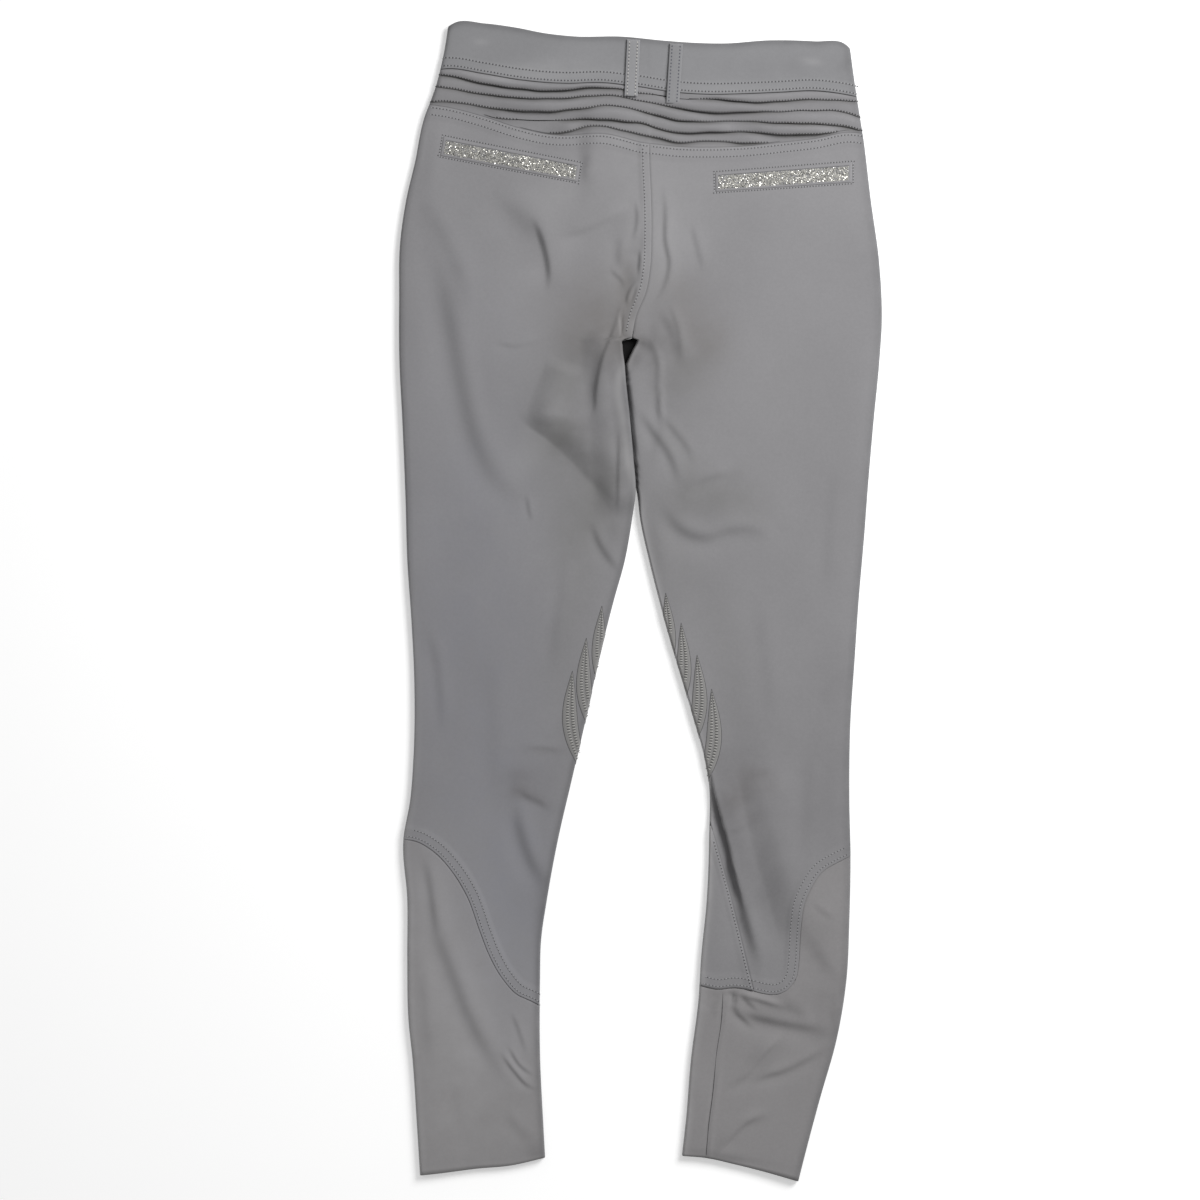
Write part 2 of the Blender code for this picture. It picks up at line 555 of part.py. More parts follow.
def make_back(side):
    left_x, right_x = side_to_side(spline(YOKE_SEAM))
    if side == "left":
        edges = outer_left, lambda y: back_edge_left(y) - SEAM_GAP / 2
        top = cut_at(YOKE_SEAM, left_x, SEAT_TOP_X, len(BACK_COLUMNS))
        bottom, low_start, height = CALF_SEAM_LEFT, 0.0, back_height_left
        low_y = bottom[-1][1]
    else:
        edges = lambda y: back_edge_right(y) + SEAM_GAP / 2, outer_right
        top = cut_at(YOKE_SEAM, SEAT_TOP_X, right_x, len(BACK_COLUMNS))
        bottom, low_start, height = CALF_SEAM_RIGHT, STRIP_PART, back_height_right
        low_y = bottom[INSEAM_POINT][1]
    rows = rows_down(SEAT_TOP_Y, low_y, *BACK_ROWS)
    x, y = plan(*edges, top, bottom, BACK_COLUMNS, rows, low_start + (1 - low_start) * BACK_COLUMNS)
    cloth(f"back_{side}", [np.stack([x, y, height(x, y)], -1)], WALL, BREECHES_GREY)


def front_points(side):
    """A front panel's points, where it lies on the surface."""
    if side == "left":
        edges = outer_left, lambda y: front_edge_left(y) - SEAM_GAP / 2
        side_x, bottom, height = FRONT_WAIST_SEAM[0][0], FRONT_CALF_SEAM_LEFT, front_height_left
        low_y = bottom[-1][1]
    else:
        edges = lambda y: front_edge_right(y) + SEAM_GAP / 2, outer_right
        side_x, bottom, height = FRONT_WAIST_SEAM[-1][0], FRONT_CALF_SEAM_RIGHT, front_height_right
        low_y = bottom[0][1]
    top = cut_at(FRONT_WAIST_SEAM, *sorted([side_x, FLY_TOP_X]))
    x, y = plan(*edges, top, bottom, FRONT_COLUMNS, rows_down(FLY_TOP_Y, low_y, *FRONT_ROWS))
    return np.stack([x, y, height(x, y)], -1)


def make_front_left():
    cloth("front_left", [front_points("left")], WALL, BREECHES_GREY, turned=True)


def make_front_right():
    """The right front turns up round the leg's inner edge at the calf, as far as the inseam."""
    under = front_points("right")
    rows = under[:, 0, 1] < INSEAM_TOP_Y + STRIP_NOTCH / 2
    edge_x, edge_y = under[rows, :1, 0], under[rows, :1, 1]
    seam_x, seam_y = points_along(CALF_SEAM_RIGHT, STRIP_PART * STRIP_COLUMNS[::-1], SEAM_GAP / 2)
    parts = (seam_x - seam_x[-1]) / (seam_x[0] - seam_x[-1])
    x = edge_x + (inseam_right(edge_y) - SEAM_GAP / 2 - edge_x) * parts
    near_seam = smooth_step(1 - (edge_y - edge_y[-1]) / STRIP_FIT)
    y = edge_y + near_seam * (seam_y - seam_y[-1])
    strip = np.concatenate([np.stack([x, y, back_height_right(x, y)], -1), under[rows, :1]], axis=1)
    cloth("front_right", [under, strip], WALL, BREECHES_GREY, turned=True)


def make_cuff(side):
    """A tube of stretch cloth: its upper half lies on its lower one."""
    over = BACK_COLUMNS
    if side == "left":
        edges, hem = (outer_left, inner_left), HEM_LEFT
        seam, front_seam = CALF_SEAM_LEFT, FRONT_CALF_SEAM_LEFT
        height, under_height = back_height_left, front_height_left
    else:
        edges, hem = (inner_right, outer_right), HEM_RIGHT
        seam, front_seam = CALF_SEAM_RIGHT, FRONT_CALF_SEAM_RIGHT
        height, under_height = back_height_right, front_height_right
        over = np.concatenate([STRIP_PART * STRIP_COLUMNS, STRIP_PART + (1 - STRIP_PART) * over[1:]])
    rows = np.linspace(0, 1, CUFF_ROWS)
    x, y = plan(*edges, seam, hem, over, rows, over**HEM_CROWDING)
    under_x, under_y = plan(*edges, front_seam, hem, FRONT_COLUMNS, rows)
    upper = np.stack([x, y, height(x, y)], -1)
    lower = np.stack([under_x, under_y, under_height(under_x, under_y)], -1)[:, ::-1]
    cloth(f"cuff_{side}", [np.concatenate([upper, lower], axis=1)], WALL, CUFF_GREY, around=True)


def make_belt_loop(side):
    top_x, top_y, low_x, low_y = BELT_LOOPS[side]
    part = np.linspace(0, 1, TRIM_STEPS)[:, None]
    across = np.array([-0.5, 0, 0.5]) * LOOP_WIDTH
    x = top_x + (low_x - top_x) * part + across
    y = np.broadcast_to(top_y + (low_y - top_y) * part, x.shape)
    z = back_height(x, y).mean(axis=1, keepdims=True) + spline(LOOP_STAND)(part) + LOOP_WALL
    points = np.stack([x, y, np.broadcast_to(z, x.shape)], -1)
    cloth(f"belt_loop_{side}", [points], LOOP_WALL, LOOP_GREY)


def rectangle_points(corners, inset, along, across):
    """Points on a slanted rectangle, inset from its sides, as rows across by columns along."""
    corners = np.array(corners)
    length = np.linalg.norm(corners[1] - corners[0])
    width = np.linalg.norm(corners[3] - corners[0])
    s = np.linspace(inset / length, 1 - inset / length, along)
    t = np.linspace(inset / width, 1 - inset / width, across)[:, None, None]
    top = corners[0] + s[:, None] * (corners[1] - corners[0])
    low = corners[3] + s[:, None] * (corners[2] - corners[3])
    return top + t * (low - top)


def make_pocket(side):
    """A frame of cloth round a strip of glitter cloth, both on the back panel."""
    corners = POCKET_FRAMES[side]
    height = {"left": back_height_left, "right": back_height_right}[side]

    def on_panel(flat):
        z = height(flat[..., 0], flat[..., 1]) + LAY_GAP + TRIM_WALL
        return np.concatenate([flat, z[..., None]], -1)

    def ring(inset):
        grid = rectangle_points(corners, inset, TRIM_STEPS, 3)
        return np.concatenate([grid[0], grid[1:, -1], grid[-1, -2::-1], grid[1:-1, 0][::-1]])

    frame = on_panel(np.stack([ring(0.0), ring(FRAME_WIDTH)]))
    cloth(f"pocket_welt_{side}", [frame], TRIM_WALL, BREECHES_GREY, around=True, turned=True)
    strip = on_panel(rectangle_points(corners, FRAME_WIDTH + SEAM_GAP, TRIM_STEPS, 3))
    cloth(f"pocket_glitter_{side}", [strip], TRIM_WALL, GLITTER_SILVER)


def main():
    for obj in list(bpy.data.objects):
        bpy.data.objects.remove(obj)
    collection = bpy.data.collections.new("riding_breeches")
    bpy.context.scene.collection.children.link(collection)
    make_waistband_back()
    make_yoke()
    make_front_left()
    make_front_right()
    for side in ("left", "right"):
        make_waistband_front(side)
        make_back(side)
        make_cuff(side)
        make_belt_loop(side)
        make_pocket(side)


main()
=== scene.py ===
"""Looks of the riding breeches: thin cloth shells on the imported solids, with folds, seams, stitching, glitter
and knee grips, lit and seen from straight above as they lie.

X runs across the breeches, Y from the hems to the waist and Z up. Tables are in millimetres, as in the part.
"""

import math
from functools import partial

import bpy
import numpy as np
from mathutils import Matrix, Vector


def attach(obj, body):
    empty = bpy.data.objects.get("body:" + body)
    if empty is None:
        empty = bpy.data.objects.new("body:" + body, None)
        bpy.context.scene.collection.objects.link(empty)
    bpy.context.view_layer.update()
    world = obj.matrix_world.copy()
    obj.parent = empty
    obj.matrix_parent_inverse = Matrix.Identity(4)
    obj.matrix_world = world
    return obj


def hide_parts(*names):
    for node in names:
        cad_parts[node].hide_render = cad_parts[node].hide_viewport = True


MM = 0.001
SEED = 11
SIDES = ("left", "right")

# Cloth
SHELL = 0.7  # thickness of a single layer
BAND_SHELL, YOKE_SHELL, TRIM_SHELL, LOOP_SHELL = 1.3, 0.45, 0.6, 1.5
SEAM_GAP = 0.3  # between two pieces that are sewn together
FRONT_EDGE = 1.0  # height of the front's outer face at its side edges
BACK_EDGE = 3.1  # the same of the back's
ROLL = 3.0  # width of the rounded stretch at a side edge
INNER_ROLL = 1.5
UNDER_ROLL = 5.0
BULGE, BULGE_AT, BULGE_WIDTH = 0.5, 11.0, 16.0  # along each leg's sides: height, place, width
WAVES, WAVE_LENGTH = 0.25, 34  # slow unevenness of the back
LOWEST, LOWEST_SOFTNESS = 3.3, 0.6  # troughs in the back level out at this height
HOLLOWS, HOLLOW_WAVES, HOLLOW_WAVE_LENGTH = 0.35, 0.2, 40  # share of the back's folds that the front has
HOLLOW_DEPTH, HOLLOW_EASE = 1.2, 14
BAND_RISE = 0.5
LAY_GAP = 0.15

# The left leg lies over the edge of the right one, from the crotch to mid thigh.
OVERLAP_LIFT, OVERLAP_FLAT, OVERLAP_RAMP = 4.6, 16.0, 22.0
OVERLAP_END, OVERLAP_END_FADE, CROTCH_FADE = 70.0, 25.0, 18.0
TUCKED_HEIGHT = 2.4  # the right leg's outer face under the left one
LIP_START = 0.2  # it comes up from under the left leg's edge this far from it
LIP_WIDTH = [(60, 1.4), (100, 1.6), (130, 2.2), (160, 2.6), (185, 2.2), (205, 1.4), (227, 1.2)]

# Outlines. Columns: y, x.
OUTER_LEFT = [
    (495.7, -165.7), (475.0, -169.0), (440.5, -177.5), (415.0, -187.0), (380.5, -194.0), (346.0, -202.0),
    (311.5, -207.0), (260.0, -208.0), (208.0, -207.8), (156.5, -205.3), (88.0, -202.5), (36.0, -201.0),
    (-15.5, -197.5), (-67.0, -195.0), (-136.0, -195.8), (-170.5, -198.5), (-205.0, -204.4),
    (-256.5, -201.0), (-308.0, -201.0), (-360.0, -200.0), (-394.0, -196.5), (-446.0, -193.0),
    (-494.0, -190.0),
]
OUTER_RIGHT = [
    (478.5, 180.3), (440.5, 185.5), (397.5, 192.3), (346.0, 198.5), (294.5, 205.5), (242.5, 208.0),
    (208.5, 206.0), (156.5, 201.0), (105.0, 196.5), (53.5, 192.5), (1.5, 188.0), (-50.0, 184.5),
    (-101.5, 181.0), (-170.5, 180.0), (-222.0, 181.0), (-273.5, 180.0), (-325.5, 177.5),
    (-377.0, 169.0), (-428.5, 154.5), (-471.5, 143.0), (-499.0, 136.0),
]
SEAT_SEAM = [
    (395.0, 7.3), (375.0, 7.8), (349.5, 9.0), (316.0, 9.5), (286.5, 8.2), (267.0, 4.7), (247.0, -3.4),
    (227.0, -7.6),
]
FLY_SEAM = [(475.0, -1.0), (430.0, -0.5), (320.0, 0.0), (260.0, -3.0), (227.0, -7.6)]
INNER_LEFT = [
    (227.0, -7.6), (226.3, -11.5), (224.8, -15.4), (221.0, -15.4), (215.0, -15.0), (205.5, -13.7),
    (191.0, -12.5), (155.0, -8.7), (123.0, -5.9), (96.5, -4.0), (70.5, -7.3), (36.0, -13.3), (1.5, -22.8),
    (-50.0, -35.7), (-101.5, -47.0), (-153.0, -59.0), (-205.0, -71.0), (-256.5, -80.5), (-291.0, -85.5),
    (-325.5, -86.5), (-394.0, -86.5), (-446.0, -84.0), (-478.5, -82.2),
]
INNER_RIGHT = [
    (227.0, -7.6), (226.0, -3.4), (224.0, -3.6), (217.0, -7.2), (204.0, -13.3), (191.0, -18.5),
    (156.5, -15.5), (122.0, -10.5), (94.5, -3.2), (70.5, -0.2), (36.0, 7.3), (1.5, 16.0), (-32.5, 25.4),
    (-67.0, 35.7), (-101.5, 46.0), (-136.0, 55.5), (-153.0, 58.5), (-205.0, 59.0), (-256.5, 57.0),
    (-308.0, 52.0), (-342.5, 50.0), (-394.0, 43.5), (-446.0, 39.2), (-477.0, 35.7),
]
# Below the crotch the right front reaches further in than the right back, under the small gap there.
INNER_RIGHT_FRONT = [(227.0, -7.6), (226.4, -15.0), (224.0, -19.5), (212.0, -20.0)] + INNER_RIGHT[5:]
# The right leg's inseam lies on its upper side at the calf.
INSEAM_RIGHT = [
    (-191.0, 60.0), (-204.0, 64.0), (-215.0, 67.2), (-239.0, 73.8), (-274.5, 82.7), (-334.8, 97.2),
]

# The yoke. A row for each station across it, and the height of each seam and tuck there.
YOKE = [
    # x, waist seam, tuck 1, tuck 2, tuck 3, tuck 4, tuck 5, yoke seam
    (-186, 456.5, 455.5, 445.0, 430.0, 428.3, 428.3, 428.3),
    (-165, 459.0, 452.5, 442.0, 429.8, 425.3, 425.3, 425.3),
    (-135, 454.7, 446.1, 436.7, 426.1, 417.5, 417.5, 417.5),
    (-105, 449.6, 441.2, 433.7, 422.0, 414.9, 407.8, 407.8),
    (-75, 446.7, 439.7, 432.9, 421.9, 413.8, 403.2, 401.8),
    (-60, 446.3, 440.6, 433.6, 423.6, 414.7, 404.8, 401.5),
    (-45, 446.9, 442.0, 435.4, 424.7, 415.6, 409.4, 402.8),
    (-30, 446.8, 442.4, 435.9, 427.0, 414.6, 408.9, 402.6),
    (-15, 445.1, 441.4, 434.4, 425.9, 413.0, 405.5, 399.3),
    (0, 443.3, 437.7, 430.9, 422.4, 411.9, 402.0, 395.2),
    (15, 440.8, 435.7, 428.7, 418.0, 407.5, 399.1, 393.5),
    (30, 438.7, 433.5, 425.1, 414.4, 403.5, 395.5, 391.8),
    (60, 436.9, 432.8, 420.8, 413.2, 403.9, 396.4, 391.0),
    (90, 437.5, 430.0, 421.3, 413.5, 404.3, 394.7, 392.1),
    (120, 438.7, 430.6, 421.9, 411.8, 401.9, 395.2, 395.2),
    (150, 439.9, 432.3, 422.5, 411.1, 402.2, 398.6, 398.6),
    (180, 436.0, 431.1, 420.3, 408.0, 403.9, 403.9, 403.9),
    (192, 433.5, 430.5, 415.5, 404.8, 402.8, 402.8, 402.8),
]

# Seams across the breeches, from left to right. Columns: x, y.
BAND_TOP = [
    (-165.8, 495.5), (-159.5, 498.9), (-134.0, 498.2), (-108.0, 494.8), (-82.0, 489.7), (-56.5, 487.0),
    (-17.5, 487.0), (21.0, 483.3), (47.0, 481.5), (72.5, 481.0), (111.5, 483.7), (150.0, 482.8),
    (176.0, 480.5), (180.5, 476.8),
]
FRONT_BAND_TOP = [
    (-165.8, 495.5), (-121.0, 485.0), (-60.5, 475.0), (-0.5, 471.0), (68.5, 469.0), (137.5, 473.0),
    (180.5, 476.8),
]
FRONT_WAIST_SEAM = [
    (-173.5, 456.5), (-121.0, 446.0), (-60.5, 435.5), (-0.5, 430.3), (68.5, 429.5), (137.5, 431.2),
    (186.3, 434.0),
]
CALF_SEAM_LEFT = [
    (-204.3, -204.0), (-193.5, -205.7), (-179.5, -213.5), (-160.5, -234.0), (-149.7, -252.0),
    (-137.5, -285.0), (-130.0, -304.0), (-118.3, -324.5), (-106.3, -337.5), (-93.5, -343.5),
    (-86.5, -347.3),
]
CALF_SEAM_RIGHT = [
    (50.6, -330.0), (66.3, -333.5), (81.3, -332.2), (97.2, -334.8), (106.3, -337.1), (117.0, -337.8),
    (126.0, -334.0), (133.5, -324.0), (135.9, -311.0), (136.9, -294.0), (138.2, -275.0), (140.5, -260.0),
    (146.0, -247.0), (155.3, -233.0), (170.0, -223.8), (181.0, -218.6),
]
INSEAM_POINT = 3  # the row of CALF_SEAM_RIGHT where the inseam meets it
FRONT_CALF_SEAM_LEFT = [
    (-204.3, -204.0), (-181.0, -208.5), (-155.3, -224.0), (-129.5, -261.0), (-109.0, -312.5),
    (-97.0, -340.5), (-89.5, -346.7), (-86.5, -347.3),
]
FRONT_CALF_SEAM_RIGHT = [
    (50.6, -330.0), (53.6, -329.6), (63.0, -323.0), (74.0, -308.0), (94.0, -273.5), (120.0, -239.0),
    (150.0, -224.0), (181.0, -218.6),
]
HEM_LEFT = [(-190.0, -494.0), (-168.0, -491.5), (-140.5, -488.0), (-113.0, -485.5), (-82.2, -478.5)]
HEM_RIGHT = [(35.7, -477.0), (54.5, -478.5), (82.0, -484.5), (109.5, -491.5), (136.0, -499.1)]

# Height of the back's outer face where the cloth is smooth. Columns: y, z.
LEVEL = [(500, 5.6), (440, 5.6), (390, 6.0), (220, 6.4), (60, 6.2), (-140, 6.0), (-340, 5.6), (-500, 5.2)]

# Folds with one high side, which is on the left of the way that their points run. Columns: height, softness
# of the step between the sides, width of the high side, width of the low side, points (x, y).
FOLD_STEPS = 28
FOLD_GROWTH = 0.36
FOLDS_LEFT = [
    (3.4, 1.6, 18, 16, [(-94, 334), (-84, 308), (-79.5, 284), (-81, 264)]),
    (2.2, 8.0, 18, 18, [(-134, 356), (-112, 338), (-91, 320), (-80, 300)]),
    (3.2, 3.4, 9, 13, [(-75, 311), (-45, 321), (-18, 334), (-6, 341)]),
    (1.4, 1.5, 5, 6, [(-4, 347), (-3.5, 325), (-8, 308)]),
    (1.8, 0.8, 4, 6, [(-0.5, 305), (-1, 293), (-2.5, 280)]),
    (1.8, 0.8, 4, 8, [(-1, 279), (-9, 269), (-12, 260), (-11, 253)]),
    (1.2, 0.7, 3, 3, [(-2.5, 274), (-4.5, 266), (-8.5, 256)]),
    (1.0, 1.4, 5, 6, [(-27, 288), (-22, 282), (-17, 277), (-14, 268)]),
    (1.6, 3.6, 9, 9, [(-16, 318), (-19, 303), (-18, 284)]),
    (1.7, 0.8, 14, 8, [(-16, 262), (-25, 231), (-34, 207), (-38.5, 184), (-40.5, 160)]),
    (1.6, 4.0, 10, 9, [(-30, 232), (-37, 206), (-42, 178), (-44, 160)]),
    (1.0, 0.8, 9, 6, [(-36, 200), (-39, 183), (-41, 163), (-46, 156)]),
    (1.4, 0.9, 8, 9, [(-18.5, 155), (-19.5, 113), (-20, 88), (-21, 70)]),
    (2.2, 2.5, 9, 9, [(-43, 72), (-37, 53), (-24, 33), (-16, 24)]),
    (5.2, 9.0, 21, 20, [(-184, 335), (-173, 285), (-164, 240), (-155, 190), (-144, 145), (-126, 107),
                        (-105, 88), (-80, 76)]),
    (1.8, 7.0, 14, 14, [(-186, 350), (-172, 318), (-158, 285), (-150, 262)]),
    (0.9, 1.0, 5, 6, [(-98, 94), (-97, 84), (-94, 68)]),
    (0.8, 1.5, 7, 7, [(-130, 224), (-108, 220), (-82, 227)]),
    (1.4, 3.0, 8, 8, [(-44, 389), (-48, 376), (-49, 359)]),
    (1.4, 3.5, 11, 11, [(-186, -14), (-178, -41), (-173, -76), (-172, -119)]),
    (1.0, 9.0, 16, 16, [(-130, -33), (-128, -84), (-126, -145), (-120, -213)]),
    (0.7, 0.9, 5, 5, [(-101, -126), (-82, -126), (-66, -129)]),
    (1.1, 1.6, 6, 6, [(-108, -160), (-97, -168), (-86, -173), (-76, -180)]),
    (4.0, 6.2, 12, 13, [(-107, -166), (-105, -192), (-97, -218), (-85, -241), (-78, -250)]),
    (1.0, 5.0, 12, 12, [(-66, 46), (-68, 10), (-74, -30), (-78, -70)]),
    (1.2, 6.0, 14, 14, [(-176, 420), (-182, 380), (-186, 345)]),
]
FOLDS_RIGHT = [
    (4.4, 4.0, 12, 9, [(74.5, -212), (80.5, -236), (87, -262), (95, -290), (103.5, -318)]),
    (1.8, 1.3, 8, 7, [(18.5, 361), (21, 340), (21, 311), (24.5, 290), (22, 277), (13, 259), (5, 250)]),
    (1.0, 2.0, 8, 8, [(43, 330), (46, 316), (52, 291), (54, 280)]),
    (2.8, 4.6, 12, 10, [(13, 254), (24, 238), (31, 217), (36, 199)]),
    (0.9, 0.9, 7, 7, [(23, 260), (32, 234), (35, 205)]),
    (1.8, 1.0, 4, 5, [(18, 186), (16, 168), (18, 155)]),
    (2.4, 3.0, 8, 8, [(-4, 169), (8, 150), (24, 127), (35, 96)]),
    (1.4, 2.5, 7, 7, [(12, 166), (26, 150), (40, 132), (46, 116)]),
    (2.4, 4.0, 9, 10, [(36, 93), (51, 103), (74, 111), (84, 118)]),
    (4.2, 5.0, 13, 14, [(12, 90), (24, 74), (36, 61), (56, 55), (77, 61), (93, 62), (116, 52)]),
    (0.8, 0.8, 5, 5, [(76, -200), (86, -196), (94, -188)]),
    (1.4, 7.0, 15, 15, [(148, -119), (144, -162), (142, -205), (137, -240)]),
    (1.2, 8.0, 15, 15, [(98, 20), (104, -30), (110, -80), (112, -125)]),
    (0.8, 5.0, 12, 12, [(170, 130), (162, 60), (160, -10)]),
]
# The calf's fold, which hangs over the inseam: the same columns, and how far its edge leans out.
CALF_FOLD = (8.0, 1.1, 22, 10, [(59, -136), (63, -158), (70, -180), (75, -198), (80, -218), (84, -240),
                                (86.5, -256), (89, -270)])
CALF_LEAN = 4.2
CROTCH_FOLD = (2.2, 0.9, 6, 5, [(-15.5, 208), (-16.6, 222), (-17.6, 234), (-18.2, 244), (-17.2, 252)])
CROTCH_LEAN = 1.2
FOLDS_CUFF_LEFT = [
    (2.4, 3.0, 13, 9, [(-187, -214), (-182.5, -238), (-179, -262), (-175, -292)]),
    (4.2, 7.0, 14, 15, [(-187, -240), (-176, -285), (-162, -322), (-147, -360), (-134, -385), (-118, -407),
                        (-104, -418)]),
    (1.5, 1.2, 5, 5, [(-122, -386), (-109, -404), (-96, -417), (-86, -420)]),
    (1.3, 1.2, 4, 4, [(-115, -381), (-103, -400), (-90, -409)]),
    (1.0, 1.5, 5, 6, [(-112, -350), (-104, -372), (-98, -392)]),
    (1.0, 5.0, 10, 10, [(-120, -437), (-104, -455), (-88, -468)]),
    (0.9, 4.0, 10, 10, [(-190, -300), (-186, -350), (-180, -410)]),
    (0.8, 6.0, 12, 12, [(-165, -400), (-158, -430), (-152, -470)]),
]
FOLDS_CUFF_RIGHT = [
    (2.2, 1.2, 5, 6, [(80, -333), (82, -352), (91, -362), (99, -369)]),
    (1.8, 2.0, 6, 7, [(70, -336), (65, -345), (59, -356)]),
    (1.6, 1.0, 5, 5, [(86, -336), (93, -345), (101, -352)]),
    (4.6, 4.0, 11, 12, [(76, -345), (90, -355), (111, -361), (143, -367), (168, -371)]),
    (3.4, 2.6, 7, 8, [(90, -418), (105, -410), (124, -404), (147, -392), (167, -378)]),
    (3.8, 2.8, 7, 8, [(72, -422), (92, -408), (105, -392), (127, -370)]),
    (3.8, 2.6, 8, 8, [(63, -478), (77, -463), (92, -449), (112, -440)]),
    (2.2, 5.0, 11, 12, [(114, -344), (130, -350), (148, -362)]),
    (0.9, 1.2, 5, 5, [(146, -258), (156, -266), (167, -274)]),
    (1.2, 3.0, 8, 8, [(168, -330), (166, -352), (163, -374)]),
    (0.8, 4.0, 9, 9, [(45, -380), (44, -410), (46, -440)]),
]
# Wide slopes that rise from a crease, to the left of the way that their points run. Columns: height, width of
# the slope at the start and at the end, width over which the high side fades, points.
FLANKS_LEFT = [
    (2.2, 14, 18, 20, [(-80, 214), (-87, 192), (-95, 172), (-98.5, 152)]),
    (4.0, 9, 36, 18, [(-108, 162), (-98, 152), (-80, 139), (-61, 122), (-47, 107), (-35, 96), (-20, 80),
                      (-14, 68)]),
    (0.8, 8, 10, 8, [(-56, 114), (-42, 100), (-30, 84), (-21, 72)]),
]
FLANKS_RIGHT = [
    (3.4, 20, 28, 34, [(83, -138), (88, -172), (95, -205), (104, -238), (115, -275), (124, -306)]),
]
# Narrow ridges, or grooves where the height is below zero. Columns: height, left width, right width, points.
RIDGES_RIGHT = [
    (1.2, 3.0, 2.8, [(1, 239), (8, 226), (14, 215), (16.5, 202), (16, 182), (17, 160), (26, 137)]),
]
RIDGES_CUFF_RIGHT = [
    (1.8, 3.0, 2.4, [(80, -336), (97, -340), (114, -345), (128, -350)]),
    (-2.6, 1.6, 2.0, [(77.5, -334), (79.5, -340), (81, -349)]),
]


# ---------------------------------------------------------------- lines and curves


def spline(rows):
    """A smooth function through rows of (place, value)."""
    at, value = np.array(sorted(rows), float).T
    slope = np.gradient(value, at)

    def read(place):
        place = np.clip(place, at[0], at[-1])
        i = np.clip(np.searchsorted(at, place) - 1, 0, len(at) - 2)
        step = at[i + 1] - at[i]
        s = (place - at[i]) / step
        start = (2 * s**3 - 3 * s**2 + 1) * value[i] + (s**3 - 2 * s**2 + s) * step * slope[i]
        end = (3 * s**2 - 2 * s**3) * value[i + 1] + (s**3 - s**2) * step * slope[i + 1]
        return start + end

    return read


def length_parts(points):
    """The part of a curve's length at each of its points."""
    steps = np.linalg.norm(np.diff(np.array(points, float), axis=0), axis=1)
    return np.concatenate([[0], np.cumsum(steps)]) / steps.sum()


def curve(points):
    """x and y as smooth functions of the part of the curve's length, from 0 to 1."""
    part = length_parts(points)
    return tuple(spline([(at, point[axis]) for at, point in zip(part, points)]) for axis in (0, 1))


def points_along(points, parts, shift=0.0):
    """x and y at parts of a curve, moved sideways by shift, to the left of the way that it runs."""
    read_x, read_y = curve(points)
    near = 0.004
    ahead, behind = np.clip(parts + near, 0, 1), np.clip(parts - near, 0, 1)
    along = np.stack([read_x(ahead) - read_x(behind), read_y(ahead) - read_y(behind)])
    along /= np.linalg.norm(along, axis=0)
    return read_x(parts) - shift * along[1], read_y(parts) + shift * along[0]


def smooth_step(value):
    value = np.clip(value, 0, 1)
    return value * value * (3 - 2 * value)


def beside(x, y, points, reach):
    """For the points within reach of a curve: which they are, how far they are to its left, and the part of
    its length beside them."""
    read_x, read_y = curve(points)
    parts = np.linspace(0, 1, FOLD_STEPS + 1)
    line = np.stack([read_x(parts), read_y(parts)], -1)
    low, high = line.min(axis=0) - reach, line.max(axis=0) + reach
    near = (x > low[0]) & (x < high[0]) & (y > low[1]) & (y < high[1])
    start, step = line[:-1], np.diff(line, axis=0)
    to = np.stack([x[near], y[near]], -1)[:, None] - start
    along = np.clip((to * step).sum(-1) / (step**2).sum(-1), 0, 1)
    away = to - along[..., None] * step
    best = np.argmin((away**2).sum(-1), axis=1)
    pick = np.arange(len(best))
    away, along, step = away[pick, best], along[pick, best], step[best]
    side = np.sign(step[:, 0] * away[:, 1] - step[:, 1] * away[:, 0])
    return near, side * np.linalg.norm(away, axis=1), (best + along) / FOLD_STEPS


def taper(part):
    """Folds grow from nothing at their ends."""
    return smooth_step(part / FOLD_GROWTH) * smooth_step((1 - part) / FOLD_GROWTH)


def folds(x, y, table):
    """The height of folds with one high side."""
    total = np.zeros(np.shape(x))
    for height, softness, high_width, low_width, points in table:
        near, left, part = beside(x, y, points, 3 * max(high_width, low_width))
        width = np.where(left > 0, high_width, low_width)
        total[near] += height / 2 * taper(part) * np.tanh(left / softness) * np.exp(-((left / width) ** 2))
    return total


FLANK_GROWTH, FLANK_ROUND = 0.2, 1.2


def flanks(x, y, table):
    """The height of wide slopes that start at a crease and end in a round crest."""
    total = np.zeros(np.shape(x))
    for height, start_width, end_width, fade, points in table:
        near, left, part = beside(x, y, points, max(start_width, end_width) + 2 * fade)
        width = start_width + part * (end_width - start_width)
        rise = np.sin(np.pi / 2 * np.clip(left / width, 0, 1)) ** FLANK_ROUND
        over = np.exp(-((np.maximum(left - width, 0) / fade) ** 2))
        start, end = smooth_step(part / FLANK_GROWTH), smooth_step((1 - part) / FLANK_GROWTH)
        total[near] += height * start * end * rise * over
    return total


def ridges(x, y, table):
    """The height of narrow ridges and grooves."""
    total = np.zeros(np.shape(x))
    for height, left_width, right_width, points in table:
        near, left, part = beside(x, y, points, 3 * max(left_width, right_width))
        width = np.where(left > 0, left_width, right_width)
        total[near] += height * taper(part) * np.exp(-((left / width) ** 2))
    return total


def drift(x, y, length, phase):
    """Slow uneven waves between -1 and 1."""
    a, b = x / length + phase, y / length - phase
    waves = np.sin(a * 2.1 + np.sin(b * 1.3)) + np.sin(b * 1.7 + 2 * np.sin(a * 0.9)) + np.sin(a - b * 2.3)
    return waves / 3


